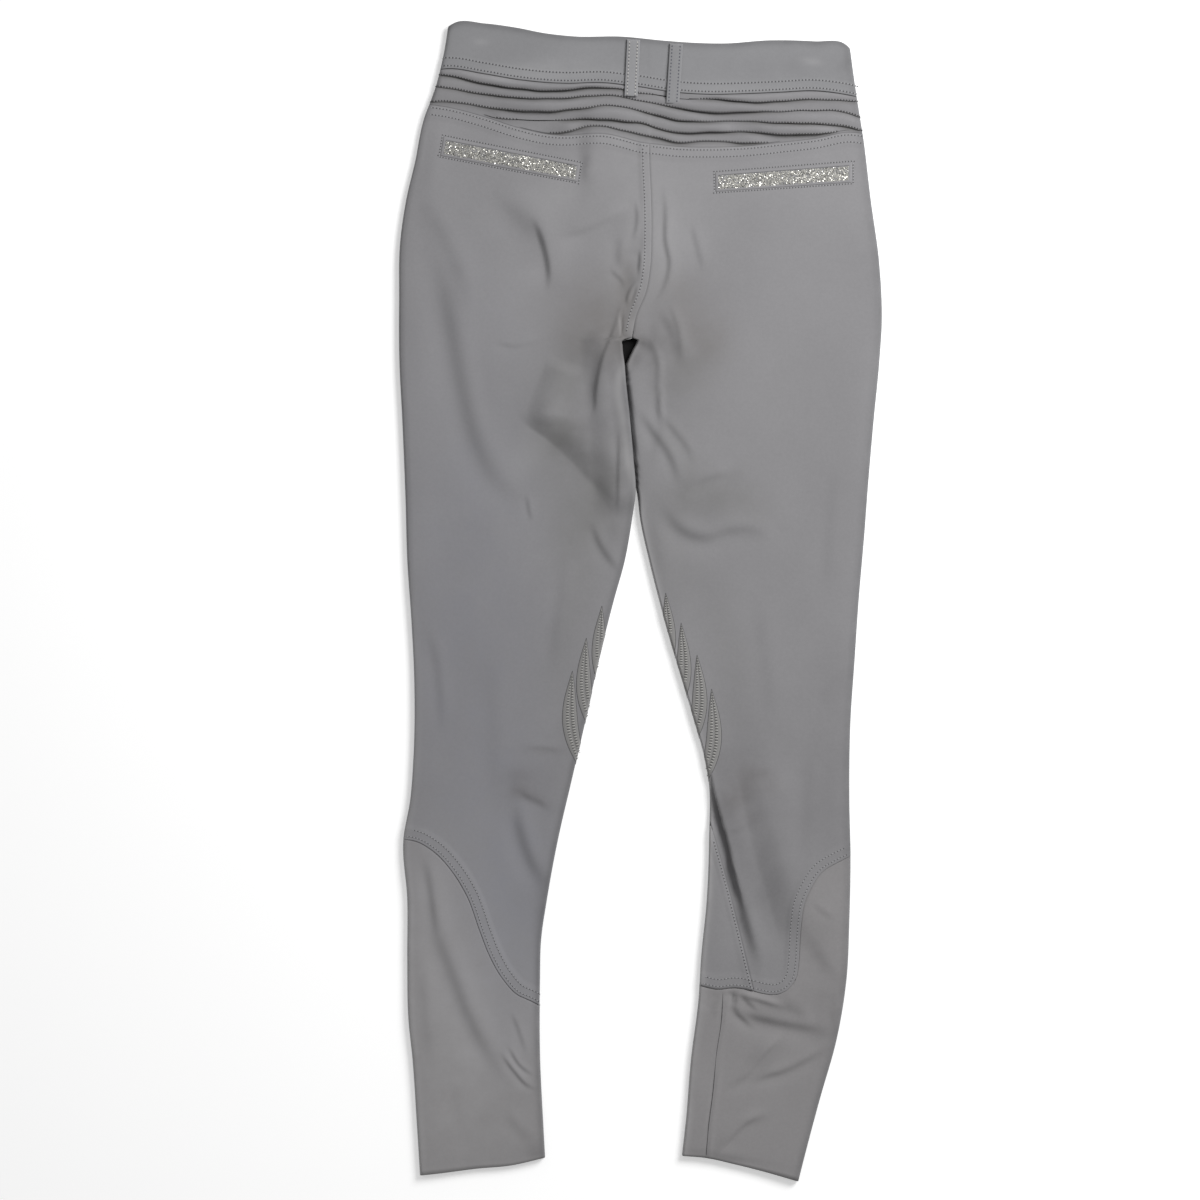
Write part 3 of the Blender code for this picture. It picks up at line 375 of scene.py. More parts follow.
outer_left = spline(OUTER_LEFT)
outer_right = spline(OUTER_RIGHT)
seat_seam = spline(SEAT_SEAM)
leg_line = spline([(300.0, -17.4), (250.0, -17.0)] + INNER_LEFT[4:])
fly_seam = spline(FLY_SEAM)
inner_left = spline(INNER_LEFT)
inner_right = spline(INNER_RIGHT)
inner_right_front = spline(INNER_RIGHT_FRONT)
inseam_right = spline(INSEAM_RIGHT)
level = spline(LEVEL)
lip_width = spline(LIP_WIDTH)
WAIST_SEAM = [(row[0], row[1]) for row in YOKE]
YOKE_SEAM = [(row[0], row[7]) for row in YOKE]
waist_seam = spline(WAIST_SEAM)
yoke_seam = spline(YOKE_SEAM)
CROTCH_Y = SEAT_SEAM[-1][0]
INSEAM_TOP_Y = INSEAM_RIGHT[0][0]
SEAT_TOP_Y, SEAT_TOP_X = SEAT_SEAM[0]
FLY_TOP_Y, FLY_TOP_X = FLY_SEAM[1]


def back_edge_left(y):
    return np.where(y > CROTCH_Y, seat_seam(y), inner_left(y))


def back_edge_right(y):
    return np.where(y > INSEAM_TOP_Y, back_side_right(y), inseam_right(y))


def back_side_right(y):
    """The right half's inner side, seen from behind: at the calf the front turns up as far as this."""
    return np.where(y > CROTCH_Y, seat_seam(y), inner_right(y))


def front_edge_left(y):
    return np.where(y > CROTCH_Y, fly_seam(y), inner_left(y))


def front_edge_right(y):
    return np.where(y > CROTCH_Y, fly_seam(y), inner_right_front(y))


# ---------------------------------------------------------------- how the cloth lies


def overlap(y):
    """1 where the left leg lies on the right one, 0 where they lie apart."""
    from_end = smooth_step((y - OVERLAP_END) / OVERLAP_END_FADE)
    return from_end * smooth_step((CROTCH_Y + CROTCH_FADE - y) / CROTCH_FADE)


def inner_distance(x, y, edge):
    """How far a point is from its leg's inner edge. Above the crotch the legs are one, so it grows."""
    return np.abs(x - edge(y)) + np.maximum(y - CROTCH_Y, 0)


def rolled(distance, width):
    """0 at a fold's edge, 1 from width on, as a quarter of an ellipse."""
    part = np.clip(distance / width, 0, 1)
    return np.sqrt(1 - (1 - part) ** 2)


def above_lowest(z):
    """Troughs level out softly before they reach the front."""
    over = (z - LOWEST) / LOWEST_SOFTNESS
    return LOWEST + LOWEST_SOFTNESS * np.logaddexp(0, over)


def uneven(form, x, y, phase, *distances):
    """A form with slow waves on it, and with a soft bulge along each of its sides."""
    bulges = sum(BULGE * np.exp(-(((distance - BULGE_AT) / BULGE_WIDTH) ** 2)) for distance in distances)
    return form + WAVES * drift(x, y, WAVE_LENGTH, phase) + bulges


def left_lift(y, inside):
    """How far the left leg is lifted where it lies on the right one."""
    return OVERLAP_LIFT * overlap(y) * (1 - smooth_step((inside - OVERLAP_FLAT) / OVERLAP_RAMP))


def back_height_left(x, y):
    outer = x - outer_left(y)
    inner = inner_distance(x, y, back_edge_left)
    inside = inner_distance(x, y, leg_line)
    form = folds(x, y, FOLDS_LEFT + FOLDS_CUFF_LEFT + [CROTCH_FOLD]) + flanks(x, y, FLANKS_LEFT)
    top = above_lowest(level(y) + uneven(form, x, y, 0.4, outer, inside))
    rise = rolled(outer, ROLL) * rolled(inner, INNER_ROLL)
    return BACK_EDGE + rise * np.maximum(top - BACK_EDGE, 0) + left_lift(y, inside)


def back_height_right(x, y):
    outer = outer_right(y) - x
    inner = inner_distance(x, y, back_side_right)
    form = folds(x, y, FOLDS_RIGHT + FOLDS_CUFF_RIGHT + [CALF_FOLD])
    form = form + ridges(x, y, RIDGES_RIGHT + RIDGES_CUFF_RIGHT) + flanks(x, y, FLANKS_RIGHT)
    top = above_lowest(level(y) + uneven(form, x, y, 2.4, outer, inner))
    lip = smooth_step((x - np.maximum(inner_left(y), back_side_right(y)) - LIP_START) / lip_width(y))
    under = overlap(y) * (y < CROTCH_Y)
    seam = BACK_EDGE + (TUCKED_HEIGHT - BACK_EDGE) * under
    rise = rolled(outer, ROLL) * (rolled(inner, INNER_ROLL) * (1 - under) + lip * under)
    return seam + rise * np.maximum(top - seam, 0)


def back_height(x, y):
    """The back's outer face, without tucks and trims."""
    middle = np.where(y > CROTCH_Y, seat_seam(y), (inner_left(y) + inner_right(y)) / 2)
    return np.where(x < middle, back_height_left(x, y), back_height_right(x, y))


def lean(x, y, fold, reach, width):
    """How far a fold moves its cloth out over its low side."""
    _, softness, high_width, _, points = fold
    near, left, part = beside(x, y, points, 3 * high_width)
    moved = np.zeros(np.shape(x))
    on_fold = smooth_step((left + softness) / (2 * softness)) * np.exp(-((np.maximum(left, 0) / width) ** 2))
    moved[near] = reach * taper(part) * on_fold
    return moved


def front_folds(x, y, inner):
    """The underside rests flat, and only its hollows lift off the surface."""
    hollow = HOLLOWS * folds(x, y, FOLDS_LEFT[:16] + FOLDS_RIGHT[:9])
    hollow = hollow + HOLLOW_WAVES * drift(x, y, HOLLOW_WAVE_LENGTH, 5.0)
    return np.clip(hollow, 0, HOLLOW_DEPTH) * rolled(inner, HOLLOW_EASE)


def underside(outer, inner, inner_turn, floor):
    outer_rise = FRONT_EDGE * (1 - rolled(outer, UNDER_ROLL))
    return floor + outer_rise + inner_turn * (1 - rolled(inner, UNDER_ROLL))


def front_height_left(x, y):
    inner = inner_distance(x, y, front_edge_left)
    lift = left_lift(y, inner)
    return underside(x - outer_left(y), inner, FRONT_EDGE, lift) + front_folds(x, y, inner)


def front_height_right(x, y):
    inner = inner_distance(x, y, front_edge_right)
    turn = FRONT_EDGE * (1 - overlap(y))
    return underside(outer_right(y) - x, inner, turn, 0.0) + front_folds(x, y, inner)


LEG_EDGES = {"left": (outer_left, inner_left), "right": (inner_right, outer_right)}
BACK_HEIGHT = {"left": back_height_left, "right": back_height_right}
FRONT_HEIGHT = {"left": front_height_left, "right": front_height_right}


# ---------------------------------------------------------------- meshes


def link(obj):
    bpy.context.scene.collection.objects.link(obj)
    return obj


def new_mesh(name, points, faces, material):
    """An object with its points given in millimetres."""
    mesh = bpy.data.meshes.new(name)
    mesh.from_pydata((np.asarray(points, float).reshape(-1, 3) * MM).tolist(), [], np.asarray(faces).tolist())
    mesh.shade_smooth()
    mesh.materials.append(material)
    return link(bpy.data.objects.new(name, mesh))


def grid_faces(rows, columns, start=0, around=False, turned=False):
    """The faces of a grid of points, as rows by columns."""
    number = np.arange(rows * columns).reshape(rows, columns) + start
    if around:
        number = np.concatenate([number, number[:, :1]], axis=1)
    faces = np.stack([number[:-1, :-1], number[1:, :-1], number[1:, 1:], number[:-1, 1:]], -1).reshape(-1, 4)
    return faces[:, ::-1] if turned else faces


def cloth(node, points, wall, material, marked=True, around=False, turned=False,
          extra=None):
    """A thin shell in place of a solid. Its outer face has these points, as rows by columns. extra is a
    second grid that shares its last column with the first one's first column, over its last rows."""
    rows, columns = points.shape[:2]
    every = points.reshape(-1, 3)
    faces = grid_faces(rows, columns, 0, around, turned)
    if extra is not None:
        extra_rows, extra_columns = extra.shape[:2]
        number = np.arange(extra_rows * extra_columns).reshape(extra_rows, extra_columns) + len(every)
        shared = np.arange(rows * columns).reshape(rows, columns)[-extra_rows:, :1]
        number = np.concatenate([number, shared], axis=1)
        more = np.stack([number[:-1, :-1], number[1:, :-1], number[1:, 1:], number[:-1, 1:]], -1)
        faces = np.concatenate([faces, more.reshape(-1, 4)[:, ::-1]])
        every = np.concatenate([every, extra.reshape(-1, 3)])
    obj = new_mesh(f"{node}_cloth", every, faces, material)
    # The inner face gets the near-black reverse material, painted shadow.
    obj.data.materials.append(reverse_painted_shadow)
    solidify = obj.modifiers.new("wall", "SOLIDIFY")
    solidify.thickness = wall * MM
    solidify.offset = -1
    solidify.use_even_offset = False
    solidify.material_offset = 1
    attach(obj, "root")
    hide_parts(node)
    if marked:
        mark(obj)
    return obj


def moved(line, by):
    """A line of x at each y, moved across."""
    return lambda y: line(y) + by


def crowded(count, ease=0.0, edge=(0.0012, 0.0045, 0.010)):
    """Parts across a panel from 0 to 1, with some near each side. ease above 0 crowds the later ones."""
    even = np.linspace(0, 1, count)
    even = even * (1 + ease) - ease * even**2
    middle = even[(even > edge[-1] * 1.4) & (even < 1 - edge[-1] * 1.4)]
    return np.concatenate([[0], edge, middle, 1 - np.array(edge)[::-1], [1]])


def rows_between(*stations):
    """Places from the first station to the last. Each station but the first is (y, spacing down to it)."""
    at, places = stations[0], [stations[0]]
    for y, spacing in stations[1:]:
        count = max(1, round(abs(y - at) / spacing))
        places += list(np.linspace(at, y, count + 1)[1:])
        at = y
    return np.array(places)


def plan(left, right, top, bottom, across, along, low_across=None, top_gap=SEAM_GAP / 2,
         low_gap=SEAM_GAP / 2):
    """x and y of a panel's points. Its rows run from the top seam to the bottom one, and its columns follow
    its left and right edges, which are functions of y."""
    top_x, top_y = points_along(top, across, -top_gap)
    low_x, low_y = points_along(bottom, across if low_across is None else low_across, low_gap)
    top_part = np.clip((top_x - left(top_y)) / (right(top_y) - left(top_y)), 0, 1)
    low_part = np.clip((low_x - left(low_y)) / (right(low_y) - left(low_y)), 0, 1)
    for part in (top_part, low_part):
        part[0], part[-1] = 0, 1
    y = top_y + along[:, None] * (low_y - top_y)
    part = top_part + along[:, None] * (low_part - top_part)
    return left(y) + part * (right(y) - left(y)), y


def side_to_side(y_of):
    """The places across at which a line meets the side seams."""
    left_x, right_x = YOKE[0][0], YOKE[-1][0]
    for _ in range(8):
        left_x, right_x = outer_left(y_of(left_x)), outer_right(y_of(right_x))
    return float(left_x), float(right_x)


def cut_at(points, left_x, right_x, count=24):
    """The stretch of a seam between two places across the breeches."""
    read_y = spline(points)
    return [(x, float(read_y(x))) for x in np.linspace(left_x, right_x, count)]


# ---------------------------------------------------------------- the frame

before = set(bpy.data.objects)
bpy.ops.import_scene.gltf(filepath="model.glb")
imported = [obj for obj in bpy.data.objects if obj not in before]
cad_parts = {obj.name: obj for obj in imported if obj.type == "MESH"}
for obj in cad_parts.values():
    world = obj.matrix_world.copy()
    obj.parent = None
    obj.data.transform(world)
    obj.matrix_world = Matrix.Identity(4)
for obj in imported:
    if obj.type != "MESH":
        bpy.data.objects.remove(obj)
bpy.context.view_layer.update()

# ---------------------------------------------------------------- materials


def linear(colour):
    """An sRGB colour, from 0 to 255, as a linear one."""
    parts = [part / 255 for part in colour]
    return tuple(part / 12.92 if part < 0.04 else ((part + 0.055) / 1.055) ** 2.4 for part in parts) + (1.0,)


class Shader:
    """A material's nodes, made and joined by short calls."""

    def __init__(self, name):
        self.material = bpy.data.materials.new(name)
        self.material.use_nodes = True
        self.tree = self.material.node_tree
        self.surface = self.tree.nodes["Principled BSDF"]

    def put(self, socket, value):
        if isinstance(value, bpy.types.NodeSocket):
            self.tree.links.new(value, socket)
        else:
            socket.default_value = value

    def node(self, kind, settings=None, **inputs):
        """A new node. inputs are named by its sockets, or are a list of the values of its first ones."""
        node = self.tree.nodes.new("ShaderNode" + kind)
        for key, value in (settings or {}).items():
            setattr(node, key, value)
        for place, value in enumerate(inputs.pop("first", [])):
            self.put(node.inputs[place], value)
        for key, value in inputs.items():
            self.put(node.inputs[key.replace("_", " ")], value)
        return node

    def finish(self, **inputs):
        """Sets the surface, and gives the material."""
        for key, value in inputs.items():
            self.put(self.surface.inputs[key.replace("_", " ")], value)
        return self.material

    def places(self):
        return self.node("TexCoord").outputs["Object"]

    def attribute(self, name):
        return self.node("Attribute", {"attribute_name": name}).outputs["Fac"]

    def noise(self, kind, places):
        scale, detail, roughness = NOISES[kind]
        noise = self.node("TexNoise", Vector=places, Scale=scale, Detail=detail, Roughness=roughness)
        return noise.outputs[0]

    def math(self, operation, a, b):
        return self.node("Math", {"operation": operation}, first=(a, b)).outputs[0]

    def between(self, value, low, high, to_low=0.0, to_high=1.0):
        return self.node("MapRange", {"clamp": True}, first=(value, low, high, to_low, to_high)).outputs[0]

    def mix(self, factor, a, b, blend="MIX"):
        node = self.node("Mix", {"data_type": "RGBA", "blend_type": blend}, first=(factor,))
        self.put(node.inputs[6], a)
        self.put(node.inputs[7], b)
        return node.outputs[2]

    def toned(self, colour, tone):
        """A colour made lighter or darker by a tone around 1."""
        grey = self.node("CombineColor", {"mode": "RGB"}, Red=tone, Green=tone, Blue=tone).outputs[0]
        return self.mix(1.0, linear(colour), grey, "MULTIPLY")

    def bump(self, strength, distance, height, **below):
        return self.node("Bump", Strength=strength, Distance=distance, Height=height, **below).outputs[0]


# Columns: scale, detail, roughness.
NOISES = {
    "clouds": (9.0, 3.0, 0.55), "specks": (420.0, 2.0, 0.6), "smudges": (60.0, 4.0, 0.6),
    "puckers": (140.0, 3.0, 0.5), "grain": (1500.0, 2.0, 0.7),
}
TWILL_SLANT = math.radians(58)
TWILL_RIBS = 3.1  # pitches in one wave of the ribs
SPECK_TONE, THREAD_TONE, SMUDGE_TONE = (0.965, 1.035), (0.97, 1.02), (0.7, 1.25)
CLOTH_SHINE, CLOTH_SHEEN_ROUGHNESS, THREAD_SHEEN = 0.28, 0.55, 0.15
TWIST_SCALE, TWIST_TONE = 1300.0, (0.82, 1.08)
GRAIN_TONE, FLAKE_ROUGHNESS = (0.55, 1.5), (0.42, 0.18)


def weave(shader, places, pitch):
    """A fine twill: crossing slanted lines, as a height from 0 to 1. pitch is in metres."""
    turned = shader.node("Mapping", Vector=places, Rotation=(0.0, 0.0, TWILL_SLANT)).outputs[0]
    scale = 1.0 / pitch / TWILL_RIBS
    ribs, cross = [
        shader.node("TexWave", {"wave_type": "BANDS", "bands_direction": way}, Vector=turned, Scale=waves,
                    Distortion=0.35, Detail=1.0, Detail_Scale=2.0).outputs["Fac"]
        for way, waves in (("X", scale), ("Y", scale * 0.8))]
    return shader.math("MULTIPLY", ribs, cross)


def cloth_material(name, colour, pitch, roughness, sheen, mottle=0.05, marks=True):
    """Woven stretch cloth: a fine twill, soft uneven tone, and marks from the piece's own values: stains and
    wear, and painted light and shade.
    """
    shader = Shader(name)
    places = shader.places()
    specks, threads = shader.noise("specks", places), weave(shader, places, pitch)
    tone = shader.between(shader.noise("clouds", places), 0.3, 0.7, 1.0 - mottle, 1.0 + mottle)
    tone = shader.math("MULTIPLY", tone, shader.between(specks, 0.25, 0.75, *SPECK_TONE))
    tone = shader.math("MULTIPLY", tone, shader.between(threads, 0.0, 1.0, *THREAD_TONE))
    base = shader.toned(colour, tone)
    smudges = shader.between(shader.noise("smudges", places), 0.25, 0.75, *SMUDGE_TONE)
    for mark, tint in MARK_TINTS if marks else []:
        amount = shader.math("MULTIPLY", shader.attribute(mark), smudges)
        base = shader.mix(shader.math("MINIMUM", amount, 1.0), base, linear(tint))
    fine = shader.bump(0.35, 0.00012, threads)
    soft = shader.bump(0.25, 0.00025, shader.noise("puckers", places), Normal=fine)
    rough = shader.between(specks, 0.2, 0.8, roughness - 0.06, roughness + 0.05)
    return shader.finish(Base_Color=base, Roughness=rough, Specular_IOR_Level=CLOTH_SHINE, Sheen_Weight=sheen,
                         Sheen_Roughness=CLOTH_SHEEN_ROUGHNESS, Normal=soft)


def thread_material(name, colour):
    """Twisted sewing thread."""
    shader = Shader(name)
    twist = shader.node("TexWave", {"wave_type": "BANDS", "bands_direction": "DIAGONAL"},
                        Vector=shader.places(), Scale=TWIST_SCALE, Distortion=0.5).outputs["Fac"]
    base = shader.toned(colour, shader.between(twist, 0.0, 1.0, *TWIST_TONE))
    return shader.finish(Base_Color=base, Roughness=0.62, Sheen_Weight=THREAD_SHEEN,
                         Normal=shader.bump(0.4, 0.00008, twist))


def glitter_material(name, low, high, metallic):
    """Silver glitter: every flake has its own brightness."""
    shader = Shader(name)
    spark = shader.attribute("spark")
    return shader.finish(Base_Color=shader.mix(spark, linear(low), linear(high)), Metallic=metallic,
                         Roughness=shader.between(spark, 0.0, 1.0, *FLAKE_ROUGHNESS))


def bed_material(name, colour):
    """The rough cloth between the flakes of glitter."""
    shader = Shader(name)
    grain = shader.noise("grain", shader.places())
    base = shader.toned(colour, shader.between(grain, 0.3, 0.7, *GRAIN_TONE))
    return shader.finish(Base_Color=base, Roughness=0.6, Normal=shader.bump(0.8, 0.0003, grain))


# Marks on the cloth, and the tint of each kind. The bluish tone, the seat and thigh wear and the knee dirt are
# the cloth's own; the light tint is partly faded cloth and partly painted light, and the shade tint is painted
# shade.
# A mark's columns are x, y, half width, half height, turn in degrees, strength. The painted shadow in the
# tucks' recesses and the painted shade along the rims have no table: they follow the tucks and the edges.
MARK_TINTS = [
    ("faded_and_painted_light", (178, 177, 178)), ("cool", (122, 124, 136)), ("painted_recess_shadow", (62, 60, 54)), ("shade", (62, 61, 62)),
    ("painted_rim_shade", (84, 84, 86)), ("seat_wear", (106, 102, 98)), ("thigh_wear", (104, 104, 100)),
    ("knee_dirt", (84, 80, 78)),
]
RAGGED, RAGGED_LENGTH = 0.25, 0.8  # how uneven a mark's outline is, and over what part of its half width
# Width of the painted shade and the painted light along the rims, and the strength of each.
RIM_WIDTH, RIM_PAINTED_SHADE, RIM_PAINTED_LIGHT = 4.2, 0.5, 0.45
LIT_RIM_TOP, LIT_RIM_FADE = 60, 80  # the left leg's outer rim gets painted light from here down
FAR = 99  # puts a distance out of a rim's reach
MARKS = {
    "faded_and_painted_light": [
        (-150, -380, 60, 150, 0, 0.32), (-68, 352, 14, 14, 0, 0.12), (-98, 124, 14, 24, -30, 0.14),
        (-92, 156, 8, 8, 0, 0.10), (-34, 110, 8, 14, -30, 0.10), (-105, 458, 55, 7, 6, 0.15),
        (80, 441, 50, 6, 0, 0.12), (-110, -300, 30, 80, 20, 0.10), (-180, -260, 20, 40, 0, 0.12),
        (-95, 451, 70, 5, 4, 0.14), (-102, -372, 14, 40, 0, 0.10), (148, 465, 9, 3, -10, 0.22),
        (-137, 482, 6, 3, 0, 0.14), (-98, 400, 20, 12, 0, 0.12), (-17, 398, 26, 8, 0, 0.10),
        (66, 392, 30, 5, 0, 0.08), (88, 358, 36, 5, 0, 0.08), (-32, 167, 6, 14, 0, 0.12),
        (-78, 143, 8, 14, -30, 0.10), (5, 370, 60, 50, 0, 0.12), (20, 300, 26, 50, 0, 0.12),
        (-20, 270, 16, 30, 0, 0.06), (120, 180, 40, 50, 0, 0.05), (-100, 260, 30, 50, 0, 0.08),
        (-140, 160, 16, 60, 20, 0.08), (-60, 200, 9, 30, -14, 0.10), (120, -420, 30, 40, 0, 0.06),
        (-86, 346, 16, 16, 0, 0.08),
    ],
    "cool": [(-150, -40, 70, 260, 0, 0.22), (-110, -260, 40, 110, 0, 0.25)],
    "shade": [
        (-15.6, 236, 0.9, 11, -4, 0.8), (89, -278, 4.5, 32, 15, 0.45), (154, -305, 6, 26, 35, 0.2),
        (178, 462, 8, 24, 0, 0.18), (112, -205, 9, 50, 14, 0.04), (140, 462, 60, 24, 0, 0.14),
        (150, -190, 40, 90, 0, 0.08), (130, -345, 34, 14, 0, 0.12), (80, -80, 22, 60, 8, 0.07),
        (9, 222, 5, 16, -6, 0.22), (-9, 278, 7, 24, -12, 0.22), (200, 330, 9, 130, 4, 0.10),
        (-60, 132, 34, 11, -43, 0.24), (120, -356, 24, 10, -14, 0.10), (103, -394, 12, 10, 0, 0.09),
        (112, -240, 16, 50, 14, 0.13), (-40, 150, 14, 12, 0, 0.12), (-47, 388, 7, 30, 0, 0.28),
        (14, 212, 7, 34, 0, 0.14), (44, 84, 36, 20, -8, 0.12), (-52, 205, 16, 22, 10, 0.12),
        (-30, 208, 8, 18, 10, 0.12), (80, -200, 8, 46, 16, 0.13), (70, -150, 10, 34, 12, 0.10),
        (100, -230, 14, 60, 17, 0.08), (160, -366, 14, 26, 0, 0.14), (165, -120, 26, 140, 0, 0.06),
        (88, -140, 22, 30, 0, 0.12), (-58, -100, 10, 40, -14, 0.12), (-86, -260, 6, 40, -4, 0.14),
        (-132, 190, 8, 50, 8, 0.06), (-20, 172, 7, 44, 6, 0.26), (-58, 172, 20, 14, 0, 0.14),
        (-56, 214, 16, 20, 0, 0.10), (-15, 136, 6, 20, 4, 0.26), (20, 222, 7, 14, 0, 0.14),
        (14, 139, 4, 18, -12, 0.15), (-99, 316, 12, 24, 20, 0.16), (-186, 335, 8, 40, 8, 0.12),
        (-155, 272, 8, 24, 10, 0.12), (-4, 211, 6, 9, 0, 0.28), (1, 223, 6, 4, -35, 0.5),
        (26, 182, 14, 50, -8, 0.09), (-24, 60, 8, 24, -10, 0.12), (13, 48, 6, 26, 8, 0.14),
        (-56, 150, 20, 12, -20, 0.20), (165, 200, 40, 160, 0, 0.05), (150, -60, 40, 120, 0, 0.04),
        (70, -478, 30, 4, -8, 0.30), (-90, -474, 8, 8, 0, 0.20),
    ],
    "seat_wear": [
        (-44, 256, 36, 36, 0, 0.26), (-22, 232, 20, 28, 20, 0.30), (40, 238, 30, 44, 10, 0.23),
        (60, 226, 18, 22, 0, 0.16), (-56, 226, 22, 20, 0, 0.18), (30, 268, 16, 18, 0, 0.12),
        (-12, 262, 9, 34, 0, 0.28),
    ],
    "thigh_wear": [
        (-70, 142, 26, 22, -30, 0.29), (-66, 190, 24, 30, 0, 0.30), (-70, 110, 34, 30, -30, 0.16),
        (-34, 92, 18, 40, -12, 0.30), (-62, 60, 24, 36, 0, 0.20), (58, 92, 34, 20, 8, 0.22),
        (36, 196, 22, 26, 0, 0.2), (92, 80, 26, 18, 0, 0.16), (34, 130, 14, 34, 20, 0.16),
        (-62, -20, 14, 60, -14, 0.16), (24, 50, 26, 60, 10, 0.12), (76, -40, 18, 60, 12, 0.10),
    ],
    "knee_dirt": [
        (-104, -150, 12, 9, 0, 0.20), (-92, -168, 16, 7, -28, 0.26), (-106, -164, 9, 8, 0, 0.22),
        (-80, -152, 20, 14, 0, 0.08), (-84, -128, 18, 4, 0, 0.16), (88, -158, 12, 14, 0, 0.26),
        (78, -172, 12, 10, 20, 0.24), (104, -148, 12, 8, 0, 0.20), (94, -186, 14, 7, 10, 0.16),
        (112, -160, 10, 9, 0, 0.14),
    ],
}


def places_of(obj):
    """x, y and z of a piece's points."""
    places = np.empty(len(obj.data.vertices) * 3)
    obj.data.vertices.foreach_get("co", places)
    return places.reshape(-1, 3).T / MM


def put_values(obj, name, values):
    obj.data.attributes.new(name, "FLOAT", "POINT").data.foreach_set("value", values)


def near_rim(distance):
    """1 at a rim, 0 well inside it."""
    return np.exp(-((np.maximum(distance, 0) / RIM_WIDTH) ** 2))


def mark(obj):
    """Puts the strength of each kind of mark on the piece's points."""
    x, y, _ = places_of(obj)
    above_crotch = FAR * (y > CROTCH_Y)
    for name, spots in MARKS.items():
        amount = np.zeros(len(x))
        for at_x, at_y, half_width, half_height, turn, strength in spots:
            angle = math.radians(turn)
            across = (x - at_x) * math.cos(angle) + (y - at_y) * math.sin(angle)
            along = (y - at_y) * math.cos(angle) - (x - at_x) * math.sin(angle)
            ragged = 1 + RAGGED * drift(x, y, half_width * RAGGED_LENGTH, at_x)
            amount += strength * np.exp(-(((across / half_width) ** 2 + (along / half_height) ** 2) / ragged))
        if name == "faded_and_painted_light":
            # Painted light along the lower left leg's outer rim and the right leg's inner rim below the crotch.
            low_leg = smooth_step((LIT_RIM_TOP - y) / LIT_RIM_FADE)
            amount += RIM_PAINTED_LIGHT * low_leg * near_rim(x - outer_left(y))
            amount += RIM_PAINTED_LIGHT * near_rim(np.abs(x - inner_right(y)) + above_crotch)
        put_values(obj, name, amount)
    # Painted shade along the right leg's outer rim, the left leg's inner rim below the crotch and the band's
    # top.
    on_leg = np.abs(x - inner_left(y)) + above_crotch
    band = np.abs(spline(BAND_TOP)(x) - y)
    put_values(obj, "painted_rim_shade", RIM_PAINTED_SHADE * near_rim(np.minimum(np.minimum(outer_right(y) - x, on_leg), band)))


# Cloths. Columns: colour, pitch of the weave in metres, roughness, sheen, unevenness of tone.
CLOTHS = {
    "breeches_cloth": ((136, 135, 137), 0.00062, 0.88, 0.05, 0.05),
    # The yoke's look is the breeches cloth made darker: painted shade.
    "yoke_cloth_painted_shade": ((130, 129, 131), 0.00062, 0.9, 0.03, 0.05),
    "band_cloth": ((133, 133, 135), 0.00062, 0.86, 0.05, 0.05),
    "cuff_cloth": ((140, 138, 139), 0.00048, 0.8, 0.08, 0.04),
    "loop_cloth": ((139, 139, 141), 0.0006, 0.85, 0.05, 0.05),
    # A darker copy of the loop cloth for the right loop: painted shade.
    "loop_cloth_painted_shade": ((132, 132, 134), 0.0006, 0.85, 0.05, 0.05),
    "grip_cloth": ((133, 132, 131), 0.0005, 0.75, 0.04, 0.05),
}
THREADS = {
    "grey": (152, 152, 154), "light": (176, 174, 170), "dark": (72, 74, 84), "tuck": (150, 149, 150),
    "grip": (162, 161, 157),
}
cloths = {name: cloth_material(f"{name}_look", *row) for name, row in CLOTHS.items()}
threads = {name: thread_material(f"{name}_thread_look", colour) for name, colour in THREADS.items()}
# Dark quads between stitches, and thin dark cords: painted shadow.
painted_stitch_shadow = thread_material("painted_stitch_shadow_look", (62, 61, 63))
# The cloth's inner face is near black: painted shadow where the inside shows, as in the hole at the crotch.
reverse_painted_shadow = cloth_material("reverse_painted_shadow_look", (14, 13, 13), 0.00062, 0.9, 0.0, marks=False)
glitter = glitter_material("glitter_look", (62, 62, 62), (222, 220, 212), 0.4)
glitter_bed = bed_material("glitter_bed_look", (128, 128, 130))


# ---------------------------------------------------------------- the pieces of cloth

STEP_LOW, STEP_HIGH = 0.3, 0.48  # height of a turned edge at its very end, and under its stitching
STEP_START, STEP_EASE, STEP_FADE = -0.3, 0.9, 4.5
UNDERLAP, DIP = 0.8, 0.5  # how far the other piece goes under that edge, and down
DIP_START, DIP_EASE = -0.25, 1.1
SEAM_REACH = 16  # how far from a calf seam its edges still show
SEAT_EASE, INSEAM_EASE = 5, 6  # over which these seams' edges begin


def turned_edge(distance, width):
    """Seam allowances make the edge on top a low step, as wide as its stitching."""
    shown = (distance > STEP_START) * (1 - smooth_step((distance - width) / STEP_FADE))
    return (STEP_LOW + (STEP_HIGH - STEP_LOW) * rolled(distance, STEP_EASE)) * shown


def tucked_edge(distance):
    """The piece sewn under that edge dips towards it."""
    return -DIP * (1 - smooth_step((distance - DIP_START) / DIP_EASE))


CALF_STEP, YOKE_STEP, SEAT_STEP, INSEAM_STEP = 9.0, 8.6, 6.2, 3.0
CALF_SEAM = {"left": CALF_SEAM_LEFT, "right": CALF_SEAM_RIGHT}
FRONT_CALF_SEAM = {"left": FRONT_CALF_SEAM_LEFT, "right": FRONT_CALF_SEAM_RIGHT}
HEM = {"left": HEM_LEFT, "right": HEM_RIGHT}


